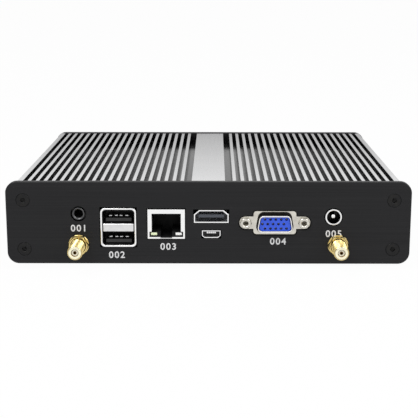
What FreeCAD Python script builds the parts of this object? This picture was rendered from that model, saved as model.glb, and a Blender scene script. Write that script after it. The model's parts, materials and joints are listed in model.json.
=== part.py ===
import FreeCAD, Part
import os
import re
import Sketcher
from FreeCAD import Placement, Rotation, Vector

# Fanless industrial mini computer, modelled in millimetres.
# +X is to the right seen from the port side, +Z is up and the port panel faces -Y.
# The origin is the middle of the footprint, on the surface that the feet stand on.
# The main board hangs under the finned crown, so every port is set out by how far it
# drops below the board's lower face.

# Driving sizes: name, value, what it is
SIZES = (
    ("case_width", 173.6, "width of the port panel"),
    ("case_height", 36.1, "height of both end panels"),
    ("case_depth", 140.0, "outer face to outer face of the end panels"),
    ("foot_height", 3.0, "height of the rubber feet"),
    ("foot_radius", 6.5, "radius of a foot at the base cover"),
    ("foot_taper", 0.8, "how much smaller a foot is at the floor"),
    ("foot_side_inset", 19.0, "foot centre from the side of the port panel"),
    ("foot_end_inset", 22.0, "foot centre from the end of the case"),
    ("panel_thickness", 3.0, "thickness of both end panels"),
    ("panel_corner", 5.0, "corner radius of both end panels"),
    ("panel_overhang", 2.1, "port panel beyond the housing at each side"),
    ("fin_drop", 0.3, "fin tops below the top of the panels"),
    ("fin_height", 4.4, "depth of the grooves in the crown"),
    ("fin_thickness", 1.5, "thickness of a fin"),
    ("fin_groove", 1.96, "width of a groove"),
    ("centre_strip", 14.3, "width of the plain strip in the middle"),
    ("wide_groove", 3.3, "width of the groove beside the strip"),
    ("shoulder", 1.5, "radius along the crown's outer edges"),
    ("keel", 4.0, "radius along the housing's lower edges"),
    ("crown_thickness", 3.7, "metal under the grooves"),
    ("side_fin_depth", 2.0, "depth of the grooves in the sides"),
    ("side_fin_drop", 6.0, "top of the first side fin below the fin tops"),
    ("side_fin_groove", 1.9, "width of a groove in the sides"),
    ("side_fin_thickness", 1.6, "thickness of a side fin"),
    ("side_wall", 2.4, "thickness of the side walls"),
    ("boss_radius", 3.0, "radius of the screw channels"),
    ("boss_inset", 7.4, "panel screws from the side of the port panel"),
    ("boss_top_drop", 8.1, "upper panel screws below the top of the panels"),
    ("boss_bottom_rise", 6.5, "lower panel screws above the bottom of the panels"),
    ("screw_radius", 1.5, "radius of every screw's thread"),
    ("thread_clearance", 0.05, "gap between a thread and its tapped hole"),
    ("hole_clearance", 0.15, "gap round a screw in a plain hole"),
    ("screw_head_radius", 2.9, "radius of a screw's head"),
    ("screw_head_height", 1.7, "height of a screw's head"),
    ("panel_screw_length", 8.0, "panel screw from its head's face"),
    ("socket_width", 2.0, "width of the hexagon socket in a screw"),
    ("socket_depth", 1.1, "depth of the hexagon socket"),
    ("base_thickness", 2.0, "thickness of the base cover"),
    ("base_rise", 0.3, "base cover above the bottom of the panels"),
    ("cover_clearance", 0.3, "gap round the base cover"),
    ("ledge_width", 9.0, "ledge inside each side wall"),
    ("ledge_thickness", 2.0, "thickness of that ledge"),
    ("base_screw_inset", 5.4, "base screws from the inside of the wall"),
    ("base_screw_end", 12.0, "base screws from the end of the case"),
    ("base_screw_length", 3.8, "base screw from its head's face"),
    ("rail_drop", 1.4, "rails under the crown that the board seats on"),
    ("rail_width", 8.0, "width of those rails"),
    ("rail_inset", 14.0, "middle of the rails from the inside of the wall"),
    ("board_thickness", 1.6, "main board"),
    ("board_side_gap", 6.0, "main board to the side wall"),
    ("board_end_gap", 0.4, "main board to the end panels"),
    ("board_screw_end", 24.0, "board screws from the end of the case"),
    ("board_screw_length", 4.0, "board screw under its head"),
    ("processor_width", 27.0, "processor along X"),
    ("processor_depth", 25.0, "processor along Y"),
    ("processor_height", 1.0, "processor on the board"),
    ("processor_place", 66.0, "middle of the processor from the port side"),
    ("chip_height", 1.0, "height of the controllers on the board"),
    ("network_chip", 9.0, "side of the network controller"),
    ("network_chip_start", 28.0, "network controller from the port side"),
    ("audio_chip", 7.0, "side of the audio controller"),
    ("audio_chip_start", 30.0, "audio controller from the port side"),
    ("bridge_chip", 14.0, "side of the port controller"),
    ("bridge_place", -4.0, "middle of the port controller"),
    ("bridge_chip_start", 42.0, "port controller from the port side"),
    ("video_chip", 10.0, "side of the video controller"),
    ("video_chip_start", 30.0, "video controller from the port side"),
    ("rear_chip", 11.0, "side of the rear controller"),
    ("rear_chip_inset", 34.0, "rear controller from the rear face"),
    ("capacitor_radius", 3.1, "radius of a capacitor"),
    ("capacitor_height", 6.0, "height of a capacitor"),
    ("capacitor_pitch", 9.0, "from one capacitor to the next"),
    ("capacitor_start", 22.0, "first capacitor from the port side"),
    ("capacitor_offset", 10.0, "capacitors beside the power jack"),
    ("inductor_side", 6.6, "side of an inductor"),
    ("inductor_height", 3.0, "height of an inductor"),
    ("inductor_gap", 1.7, "inductors beside the socket of the wireless card"),
    ("inductor_pitch", 8.5, "from one inductor to the next"),
    ("inductor_start", 46.0, "inductors from the port side"),
    ("shell_thickness", 0.3, "sheet metal of the port shells"),
    ("port_clearance", 0.3, "gap between a port and the panel"),
    ("port_proud", 0.6, "how far the larger ports stand out of the panel"),
    ("port_setback", 0.2, "small ports behind the panel's face"),
    ("data_share", -0.2225, "middle of the stacked data ports, as a share of the width"),
    ("data_width", 15.4, "width of the stacked data ports"),
    ("data_stack_height", 17.1, "height of the stacked data ports"),
    ("data_depth", 17.5, "depth of the data ports"),
    ("data_wall", 0.6, "wall of the data ports"),
    ("data_slot_width", 13.5, "width of a data slot"),
    ("data_slot_height", 6.0, "height of a data slot"),
    ("data_pitch", 9.35, "from one data slot to the next"),
    ("data_slot_depth", 12.0, "depth of a data slot"),
    ("data_corner", 1.5, "corner radius of the data ports"),
    ("tongue_width", 11.1, "width of a data tongue"),
    ("tongue_height", 1.5, "thickness of a data tongue"),
    ("tongue_lift", 0.6, "data tongue above the bottom of its slot"),
    ("tongue_setback", 1.8, "data tongue behind the front of its slot"),
    ("strip_width", 1.0, "width of a data contact"),
    ("strip_thickness", 0.25, "thickness of a data contact"),
    ("strip_margin", 0.4, "data contact from the ends of its tongue"),
    ("strip_inner", 1.0, "inner data contacts from the middle"),
    ("strip_outer", 3.5, "outer data contacts from the middle"),
    ("network_share", -0.1039, "middle of the network jack, as a share of the width"),
    ("network_width", 16.0, "width of the network jack"),
    ("network_height", 12.9, "height of the network jack"),
    ("network_depth", 21.0, "depth of the network jack"),
    ("network_drop", 0.5, "top of the network jack below the board"),
    ("network_slot_width", 12.5, "width of the network jack's cavity"),
    ("network_slot_height", 7.9, "height of the network jack's cavity"),
    ("network_slot_drop", 1.9, "cavity below the top of the network jack"),
    ("network_slot_depth", 13.0, "depth of the network jack's cavity"),
    ("latch_width", 5.0, "width of the latch notch"),
    ("latch_height", 2.4, "height of the latch notch"),
    ("wire_pitch", 1.02, "from one network contact to the next"),
    ("wire_width", 0.4, "width of a network contact"),
    ("wire_thickness", 0.35, "thickness of a network contact"),
    ("wire_start", 2.5, "network contacts behind the face of the jack"),
    ("wire_length", 7.5, "length of the network contacts"),
    ("wire_fall", 2.1, "how far the network contacts slope down"),
    ("wire_gap", 0.1, "network contacts below the roof of the cavity"),
    ("lamp_row_width", 14.5, "opening of the shell in front of the network lamps"),
    ("lamp_row_height", 2.35, "height of that opening"),
    ("lamp_drop", 0.4, "network lamps below the cavity"),
    ("lamp_width", 2.8, "width of a network lamp"),
    ("lamp_height", 1.3, "height of a network lamp"),
    ("lamp_inset", 1.3, "network lamp from the side of the jack"),
    ("video_share", 0.0073, "middle of the digital video port, as a share of the width"),
    ("video_width", 14.9, "width of the digital video port at the bottom"),
    ("video_top_width", 10.4, "width of the digital video port at the top"),
    ("video_height", 5.6, "height of the digital video port"),
    ("video_side", 3.7, "upright part of its sides"),
    ("video_wall", 0.5, "wall of the digital video port"),
    ("video_drop", 0.95, "digital video port below the board"),
    ("video_depth", 12.0, "depth of the digital video port"),
    ("video_tongue_width", 11.0, "width of the digital video tongue"),
    ("video_tongue_height", 1.3, "thickness of the digital video tongue"),
    ("video_tongue_drop", 0.7, "that tongue below the middle of the port"),
    ("video_tongue_start", 1.4, "that tongue behind the panel's face"),
    ("core_depth", 3.6, "block at the rear of the two small ports"),
    ("video_foot_width", 9.0, "foot that carries the digital video port"),
    ("video_foot_depth", 2.0, "depth of that foot"),
    ("service_width", 8.0, "width of the service port"),
    ("service_height", 3.3, "height of the service port"),
    ("service_drop", 9.9, "service board below the main board"),
    ("service_depth", 6.0, "depth of the service port"),
    ("service_low_width", 5.9, "width of the service port at the bottom"),
    ("service_slope", 1.0, "height of its sloping corners"),
    ("service_wall", 0.4, "wall of the service port"),
    ("service_core_depth", 1.8, "block at the rear of the service port"),
    ("service_tongue_width", 4.0, "width of the service tongue"),
    ("service_tongue_height", 0.7, "thickness of the service tongue"),
    ("service_tongue_drop", 1.5, "underside of that tongue below the top of the port"),
    ("service_tongue_start", 1.0, "that tongue behind the panel's face"),
    ("service_board_width", 13.0, "service board along X"),
    ("service_board_depth", 26.0, "service board along Y"),
    ("service_board_thickness", 1.2, "service board"),
    ("header_width", 11.0, "width of the stacking header"),
    ("header_depth", 5.0, "depth of the stacking header"),
    ("header_inset", 0.5, "stacking header from the end of the service board"),
    ("analog_share", 0.1645, "middle of the analog video port, as a share of the width"),
    ("analog_drop", 6.5, "middle of the analog video port below the board"),
    ("analog_body_width", 18.4, "width of the middle of the analog port's flange"),
    ("analog_body_height", 10.2, "height of the middle of the flange"),
    ("analog_body_corner", 1.3, "corner radius of the middle of the flange"),
    ("analog_ear_radius", 2.75, "radius of the flange's ears"),
    ("analog_flange_depth", 0.4, "flange behind the panel's face"),
    ("analog_flange_thickness", 0.8, "thickness of the flange"),
    ("analog_rim_width", 15.6, "width of the D-shaped rim"),
    ("analog_rim_height", 7.3, "height of the D-shaped rim"),
    ("analog_rim_reach", 2.8, "D-shaped rim out of the panel"),
    ("analog_rim_wall", 0.55, "wall of the D-shaped rim"),
    ("analog_rim_corner", 1.9, "corner radius of the D-shaped rim"),
    ("analog_gap", 0.65, "groove in the flange round the rim"),
    ("analog_web", 0.3, "metal left under that groove"),
    ("analog_insert_setback", 0.5, "insert behind the edge of the rim"),
    ("analog_depth", 15.0, "depth of the analog port behind its flange"),
    ("jackscrew_spacing", 25.0, "from one jackscrew to the other"),
    ("jackscrew_width", 4.4, "jackscrew across its flats"),
    ("jackscrew_reach", 1.6, "jackscrew out of the panel"),
    ("jackscrew_bore", 1.3, "radius of the jackscrew's threaded hole"),
    ("jackscrew_depth", 4.0, "depth of that hole behind the panel's face"),
    ("jackscrew_length", 8.0, "jackscrew behind the flange"),
    ("contact_spacing", 2.29, "from one contact hole to the next"),
    ("contact_shift", 0.3, "contact holes left of the middle of the port"),
    ("contact_row_spacing", 1.98, "from one row of contact holes to the next"),
    ("contact_hole_radius", 0.55, "radius of a contact hole"),
    ("contact_hole_depth", 4.0, "depth of a contact hole"),
    ("power_share", 0.3091, "middle of the power jack, as a share of the width"),
    ("power_drop", 3.9, "middle of the power jack below the board"),
    ("power_sleeve_radius", 3.55, "outside of the power jack's sleeve"),
    ("power_bore_radius", 2.85, "inside of the power jack's sleeve"),
    ("power_pin_radius", 1.05, "centre pin of the power jack"),
    ("power_root_radius", 0.85, "root of that pin in the jack's body"),
    ("power_pin_setback", 1.0, "tip of that pin behind the panel's face"),
    ("power_pin_chamfer", 0.4, "chamfer at the tip of that pin"),
    ("power_pin_grip", 3.0, "how far that pin reaches into the body"),
    ("power_sleeve_proud", 0.3, "power jack's sleeve out of the panel"),
    ("mate_clearance", 0.3, "a pin or thread ends this far from what holds its root"),
    ("power_bore_depth", 9.5, "depth of the power jack's bore"),
    ("power_body_width", 9.0, "width of the power jack's body"),
    ("power_body_depth", 14.0, "depth of the power jack"),
    ("audio_share", -0.3211, "middle of the audio jack, as a share of the width"),
    ("audio_drop", 2.7, "middle of the audio jack below the board"),
    ("audio_ring_radius", 2.7, "outside of the audio jack's ring"),
    ("audio_bore_radius", 1.8, "bore of the audio jack"),
    ("audio_lead", 0.5, "countersink at the mouth of the audio jack"),
    ("audio_bore_depth", 13.0, "depth of the audio jack's bore"),
    ("audio_body_width", 6.4, "width of the audio jack's body"),
    ("audio_body_depth", 12.0, "depth of the audio jack"),
    ("antenna_share", 0.3216, "antenna connectors from the middle, as a share of the width"),
    ("antenna_rise", 8.5, "antenna connector above the bottom of the panel"),
    ("antenna_reach", 14.0, "antenna connector out of the panel"),
    ("antenna_thread_radius", 3.175, "thread of the antenna connector"),
    ("antenna_neck_radius", 3.0, "barrel under the nut and in the panel"),
    ("antenna_lead", 0.5, "chamfer at the end of the thread"),
    ("antenna_bore_radius", 1.5, "mouth of the antenna connector"),
    ("antenna_mouth_depth", 0.6, "depth of that mouth"),
    ("insulator_length", 3.0, "length of the antenna insulator"),
    ("contact_proud", 0.3, "centre contact out of its insulator"),
    ("antenna_socket_radius", 0.45, "bore of the centre contact"),
    ("antenna_socket_depth", 2.4, "depth of that bore"),
    ("antenna_contact_radius", 0.7, "centre contact of the antenna connector"),
    ("antenna_shoulder_radius", 4.4, "shoulder inside the panel"),
    ("antenna_shoulder_length", 1.6, "length of that shoulder"),
    ("antenna_tail_length", 7.0, "tail behind the shoulder"),
    ("antenna_tail_radius", 1.7, "radius of the tail"),
    ("washer_thickness", 0.7, "lock washer"),
    ("washer_radius", 4.4, "radius of the lock washer"),
    ("nut_width", 8.0, "nut across its flats"),
    ("nut_thickness", 2.2, "thickness of the nut"),
    ("nut_chamfer_slope", 1.7, "slope of the nut's turned corners"),
    ("rear_data_share", -0.1618, "first rear data port, as a share of the width"),
    ("rear_data_pitch", 18.0, "from one rear data port to the other"),
    ("rear_data_height", 7.4, "height of a rear data port"),
    ("button_share", 0.3237, "middle of the power button, as a share of the width"),
    ("button_rise", 14.0, "power button and status lamps above the bottom"),
    ("button_radius", 4.2, "radius of the power button"),
    ("button_proud", 0.8, "power button beyond its bezel"),
    ("button_travel", 1.2, "stroke of the power button"),
    ("button_length", 5.0, "length of the power button"),
    ("button_clearance", 0.3, "gap round the power button"),
    ("button_collar", 1.0, "collar round the inner end of the button"),
    ("collar_thickness", 1.2, "thickness of that collar"),
    ("button_chamfer", 0.4, "chamfer round the button's face"),
    ("bezel_radius", 7.5, "bezel of the power button"),
    ("bezel_thickness", 1.6, "bezel outside the panel"),
    ("barrel_radius", 6.0, "threaded barrel of the switch"),
    ("barrel_length", 18.0, "barrel inside the case"),
    ("barrel_nut_width", 15.0, "nut of the switch across its flats"),
    ("barrel_nut_thickness", 2.0, "thickness of that nut"),
    ("status_share", 0.2197, "first status lamp, as a share of the width"),
    ("status_pitch", 7.0, "from one status lamp to the other"),
    ("status_radius", 1.5, "radius of a status lamp"),
    ("status_proud", 0.6, "status lamp beyond the panel"),
    ("status_length", 6.0, "status lamp inside the case"),
    ("status_collar", 0.5, "collar of a status lamp"),
    ("collar_depth", 1.0, "thickness of that collar"),
    ("card_drop", 2.6, "plug-in cards below the board"),
    ("card_width", 22.0, "width of the plug-in cards"),
    ("card_thickness", 0.8, "thickness of the plug-in cards"),
    ("card_gap", 4.0, "plug-in cards beside the memory socket"),
    ("card_start", 42.0, "slot of the plug-in cards from the port side"),
    ("storage_length", 60.0, "length of the storage card"),
    ("wireless_length", 30.0, "length of the wireless card"),
    ("card_socket_depth", 5.0, "socket of a plug-in card along Y"),
    ("card_grip", 1.5, "how far a card reaches into its socket"),
    ("card_post_radius", 2.2, "post under the free end of a card"),
    ("socket_wall", 1.0, "wall of the card and memory sockets"),
    ("card_chip_height", 1.2, "height of the chips on a plug-in card"),
    ("memory_width", 67.6, "width of the memory module"),
    ("memory_length", 30.0, "length of the memory module"),
    ("memory_drop", 2.6, "memory module below the board"),
    ("memory_thickness", 1.2, "thickness of the memory module"),
    ("memory_start", 64.0, "memory socket from the port side"),
    ("memory_socket_depth", 6.0, "bar of the memory socket along Y"),
    ("memory_arm", 3.2, "arm at each side of the memory module"),
    ("memory_chip_width", 11.0, "width of a memory chip"),
    ("memory_chip_depth", 13.0, "depth of a memory chip"),
    ("memory_chip_height", 1.0, "height of a memory chip"),
    ("memory_chip_start", 8.0, "memory chips from the edge of the module"),
    ("memory_chip_pitch", 15.7, "from one memory chip to the next"),
    ("cell_radius", 10.0, "radius of the clock battery"),
    ("cell_height", 3.2, "height of the clock battery"),
    ("cell_start", 100.0, "clock battery from the port side"),
    ("cell_seat", 1.0, "floor of the battery holder"),
    ("cell_wall", 1.5, "wall of the battery holder"),
)

# Places that several pieces share, each worked out from the driving sizes
PLACES = {
    "port_face": "antenna_reach - (antenna_reach + case_depth + bezel_thickness + button_proud) / 2",
    "rear_face": "port_face + case_depth",
    "port_back": "port_face + panel_thickness",
    "rear_front": "rear_face - panel_thickness",
    "case_top": "foot_height + case_height",
    "body_half": "case_width / 2 - panel_overhang",
    "wall_outer": "body_half - side_fin_depth",
    "wall_inner": "wall_outer - side_wall",
    "fin_top": "case_top - fin_drop",
    "groove_floor": "fin_top - fin_height",
    "ceiling": "groove_floor - crown_thickness",
    "board_top": "ceiling - rail_drop",
    "board_face": "board_top - board_thickness",
    "board_half": "wall_inner - board_side_gap",
    "base_under": "foot_height + base_rise",
    "base_top": "base_under + base_thickness",
    "ledge_top": "base_top + ledge_thickness",
    "rail_middle": "wall_inner - rail_inset",
    "boss_across": "case_width / 2 - boss_inset",
    "boss_high": "case_top - boss_top_drop",
    "boss_low": "foot_height + boss_bottom_rise",
    "tapped_radius": "screw_radius + thread_clearance",
    "plain_radius": "screw_radius + hole_clearance",
    "fin_pitch": "fin_thickness + fin_groove",
    "first_groove": "centre_strip / 2 + wide_groove + fin_thickness",
    "last_fin": "wall_outer - shoulder - fin_thickness",
    "fin_grooves": "floor((last_fin - first_groove + fin_thickness) / fin_pitch)",
    "side_pitch": "side_fin_groove + side_fin_thickness",
    "side_fin_top": "fin_top - side_fin_drop",
    "side_grooves": "floor((side_fin_top - base_under - 2 * side_fin_thickness) / side_pitch)",
    "data_place": "data_share * case_width",
    "network_place": "network_share * case_width",
    "video_place": "video_share * case_width",
    "analog_place": "analog_share * case_width",
    "power_place": "power_share * case_width",
    "audio_place": "audio_share * case_width",
    "rear_data_place": "rear_data_share * case_width",
    "button_place": "button_share * case_width",
    "status_place": "status_share * case_width",
    "card_place": "memory_width / 2 + memory_arm + card_gap + card_width / 2",
    "stack_slot_top": "board_face - (data_stack_height - data_pitch - data_slot_height) / 2",
    "single_slot_top": "board_face - (rear_data_height - data_slot_height) / 2",
    "network_top": "board_face - network_drop",
    "network_slot_top": "network_top - network_slot_drop",
    "network_slot_low": "network_slot_top - network_slot_height",
    "lamp_top": "network_slot_low - lamp_drop",
    "inductor_place": "card_place - card_width / 2 - socket_wall - inductor_gap - inductor_side / 2",
    "wire_top": "network_slot_top - wire_gap",
    "small_port_face": "port_face + port_setback",
    "video_top": "board_face - video_drop",
    "service_face": "board_face - service_drop",
    "analog_middle": "board_face - analog_drop",
    "flange_face": "port_face + analog_flange_depth",
    "flange_back": "flange_face + analog_flange_thickness",
    "power_middle": "board_face - power_drop",
    "audio_middle": "board_face - audio_drop",
    "antenna_across": "antenna_share * case_width",
    "antenna_middle": "foot_height + antenna_rise",
    "nut_face": "port_face - washer_thickness - nut_thickness",
    "button_middle": "foot_height + button_rise",
    "bezel_face": "rear_face + bezel_thickness",
    "card_face": "board_face - card_drop",
    "memory_face": "board_face - memory_drop",
    "memory_edge": "port_face + memory_start + memory_socket_depth - card_grip",
}

VALUES = {name: number for name, number, note in SIZES}
ALONG_Y = Rotation(Vector(1, 0, 0), -90)
UPRIGHT = Rotation(Vector(1, 0, 0), 90)

doc = FreeCAD.newDocument("MiniComputer")
sheet = doc.addObject("Spreadsheet::Sheet", "Sizes")
for row, (name, number, note) in enumerate(SIZES, start=1):
    sheet.set(f"A{row}", note)
    sheet.set(f"B{row}", str(number))
    sheet.setAlias(f"B{row}", name)
doc.recompute()

subparts = []


# Words to sizes

def spell(words):
    """Turn names of sizes and places into an expression on the sheet."""
    def swap(match):
        word = match.group(0)
        if word in PLACES:
            return "(" + spell(PLACES[word]) + ")"
        return "Sizes." + word if word in VALUES else word
    return re.sub(r"[a-z][a-z_]*", swap, str(words))


def value(words):
    """The number that the words stand for."""
    return float(sheet.evalExpression(spell(words)))


def bind(item, **sizes):
    for name, words in sizes.items():
        item.setExpression(name, spell(words))
    return item


def put(item, x="0", y="0", z="0", turn=None):
    """Place an item by three sizes, turned if need be."""
    item.Placement = Placement(Vector(0, 0, 0), turn or Rotation())
    for axis, words in (("x", x), ("y", y), ("z", z)):
        item.setExpression(f"Placement.Base.{axis}", spell(words))
    return item


# Solids bound to the sheet

def block(name, x, y, z):
    """A box, each way given as (low side, length)."""
    item = doc.addObject("Part::Box", name)
    bind(item, Length=x[1], Width=y[1], Height=z[1])
    return put(item, x[0], y[0], z[0])


def centred(name, middle, width, y, z):
    """A box centred on the X place that middle names."""
    return block(name, (f"({middle}) - ({width}) / 2", width), y, z)


def rod(name, x, y, z, radius, length, along="y"):
    item = doc.addObject("Part::Cylinder", name)
    bind(item, Radius=radius, Height=length)
    return put(item, x, y, z, ALONG_Y if along == "y" else None)


def cone(name, x, y, z, start, end, length, along="y"):
    item = doc.addObject("Part::Cone", name)
    bind(item, Radius1=start, Radius2=end, Height=length)
    return put(item, x, y, z, ALONG_Y if along == "y" else None)


def hexagon(name, x, y, z, flats, length, along="y"):
    item = doc.addObject("Part::Prism", name)
    item.Polygon = 6
    bind(item, Circumradius=f"({flats}) / 2 / cos(30 deg)", Height=length)
    return put(item, x, y, z, ALONG_Y if along == "y" else None)


def join(name, *items):
    if len(items) == 1:
        return items[0]
    item = doc.addObject("Part::MultiFuse", name)
    item.Shapes = list(items)
    item.Refine = True
    return item


def cut(name, base, *tools):
    item = doc.addObject("Part::Cut", name)
    item.Base = base
    item.Tool = join(name + "_tools", *tools)
    return item


def several(name, items):
    """Separate solids that share one node."""
    item = doc.addObject("Part::Compound", name)
    item.Links = list(items)
    return item


def subpart(label, item):
    item.Label = label
    subparts.append(item)
    return item


# Sketches bound to the sheet

def fix(sketch, kind, *where):
    """Add a dimension from the sketch's origin, bound to the sheet."""
    *ends, words = where
    index = sketch.addConstraint(Sketcher.Constraint(kind, *ends, value(words)))
    sketch.setExpression(f"Constraints[{index}]", spell(words))


def polygon(sketch, points):
    """A closed outline with each corner set by two sizes."""
    first = sketch.GeometryCount
    spots = [Vector(value(across), value(up), 0) for across, up in points]
    count = len(spots)
    for index in range(count):
        sketch.addGeometry(Part.LineSegment(spots[index], spots[(index + 1) % count]), False)
    for index in range(count):
        after = first + (index + 1) % count
        sketch.addConstraint(Sketcher.Constraint("Coincident", first + index, 2, after, 1))
    for index, (across, up) in enumerate(points):
        fix(sketch, "DistanceX", -1, 1, first + index, 1, across)
        fix(sketch, "DistanceY", -1, 1, first + index, 1, up)


def rectangle(sketch, left, right, low, high):
    polygon(sketch, ((left, low), (right, low), (right, high), (left, high)))


def circle(sketch, across, up, radius):
    index = sketch.GeometryCount
    centre = Vector(value(across), value(up), 0)
    sketch.addGeometry(Part.Circle(centre, Vector(0, 0, 1), value(radius)), False)
    fix(sketch, "DistanceX", -1, 1, index, 3, across)
    fix(sketch, "DistanceY", -1, 1, index, 3, up)
    fix(sketch, "Radius", index, radius)


def profile(name, points, y, length):
    """Extrude an outline, drawn in X and Z, along +Y."""
    sketch = doc.addObject("Sketcher::SketchObject", name + "_outline")
    put(sketch, "0", y, "0", UPRIGHT)
    polygon(sketch, points)
    item = doc.addObject("Part::Extrusion", name)
    item.Base = sketch
    item.DirMode = "Custom"
    item.Dir = Vector(0, 1, 0)
    item.Solid = True
    return bind(item, LengthFwd=length)


class Body:
    """A PartDesign body whose sketches lie on its own origin planes."""

    def __init__(self, name, **place):
        self.body = doc.addObject("PartDesign::Body", name)
        self.name = name
        put(self.body, **place)

    def origin(self, role):
        return next(item for item in self.body.Origin.OriginFeatures if item.Role == role)

    def sketch(self, name, role="XZ_Plane", lift="0"):
        sketch = self.body.newObject("Sketcher::SketchObject", f"{self.name}_{name}")
        sketch.AttachmentSupport = [(self.origin(role), "")]
        sketch.MapMode = "FlatFace"
        sketch.setExpression("AttachmentOffset.Base.z", spell(lift))
        return sketch

    def feature(self, kind, sketch, name, length=None, back=False):
        item = self.body.newObject("PartDesign::" + kind, f"{self.name}_{name}")
        item.Profile = sketch
        item.Reversed = back
        if length is None:
            item.Type = 1
        else:
            bind(item, Length=length)
        return item

    def row(self, feature, sketch, axis, count, length, name, back=False):
        item = self.body.newObject("PartDesign::LinearPattern", f"{self.name}_{name}")
        item.Originals = [feature]
        item.Direction = (sketch, [axis])
        item.Reversed = back
        bind(item, Length=length, Occurrences=count)
        self.body.Tip = item
        return item

    def spin(self, sketch, name):
        item = self.body.newObject("PartDesign::Revolution", f"{self.name}_{name}")
        item.Profile = sketch
        item.ReferenceAxis = (sketch, ["V_Axis"])
        item.Angle = 360.0
        return item

    def round_ends(self, radius):
        """Round the edges that run along Y at the corners of a plate."""
        doc.recompute()
        tip = self.body.Tip
        edges = []
        for number, edge in enumerate(tip.Shape.Edges, start=1):
            start, end = edge.Vertexes[0].Point, edge.Vertexes[-1].Point
            if abs(abs(end.y - start.y) - edge.Length) < 1e-6:
                edges.append(f"Edge{number}")
        item = self.body.newObject("PartDesign::Fillet", self.name + "_corners")
        item.Base = (tip, edges)
        return bind(item, Radius=radius)


def rounded(name, base, radius, chosen):
    """Fillet the edges of an item that the rule chosen picks."""
    doc.recompute()
    size = value(radius)
    item = doc.addObject("Part::Fillet", name)
    item.Base = base
    item.Edges = [(number, size, size) for number, edge in enumerate(base.Shape.Edges, start=1)
                  if chosen(edge)]
    return item


def bevelled(name, base, size, chosen):
    """Chamfer the edges of an item that the rule chosen picks."""
    doc.recompute()
    step = value(size)
    item = doc.addObject("Part::Chamfer", name)
    item.Base = base
    item.Edges = [(number, step, step) for number, edge in enumerate(base.Shape.Edges, start=1)
                  if chosen(edge)]
    return item


def runs_along(axis):
    """A rule that picks the edges parallel to an axis."""
    way = {"x": Vector(1, 0, 0), "y": Vector(0, 1, 0), "z": Vector(0, 0, 1)}[axis]

    def chosen(edge):
        step = edge.Vertexes[-1].Point - edge.Vertexes[0].Point
        return step.Length > 0 and abs(abs(step.dot(way)) - edge.Length) < 1e-6
    return chosen


# Screws, all of one thread and head

def screw(name, x, y, z, length, along="y", back=False, sunk=True):
    """A screw with its head's face at the place, sunk with a socket or standing as a hexagon."""
    shank = rod(name + "_shank", "0", "0", "0", "screw_radius", length, "z")
    if sunk:
        head = cone(name + "_head", "0", "0", "0", "screw_head_radius", "screw_radius",
                    "screw_head_height", "z")
        socket = hexagon(name + "_socket", "0", "0", "0", "socket_width", "socket_depth", "z")
        item = cut(name, join(name + "_blank", head, shank), socket)
    else:
        head = hexagon(name + "_head", "0", "0", "0", "2 * screw_head_radius",
                       "screw_head_height", "z")
        item = join(name, head, shank)
    turns = {("y", False): -90, ("y", True): 90, ("z", False): 0}
    turn = Rotation(Vector(1, 0, 0), turns[(along, back)])
    return put(item, x, y, z, turn)


def corners():
    """The four corners of an end panel as (name, X, Z)."""
    for side, across in (("left", "-(boss_across)"), ("right", "boss_across")):
        for level, up in (("low", "boss_low"), ("high", "boss_high")):
            yield f"{side}_{level}", across, up


# Finned housing, an extrusion open at both ends and below

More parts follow.
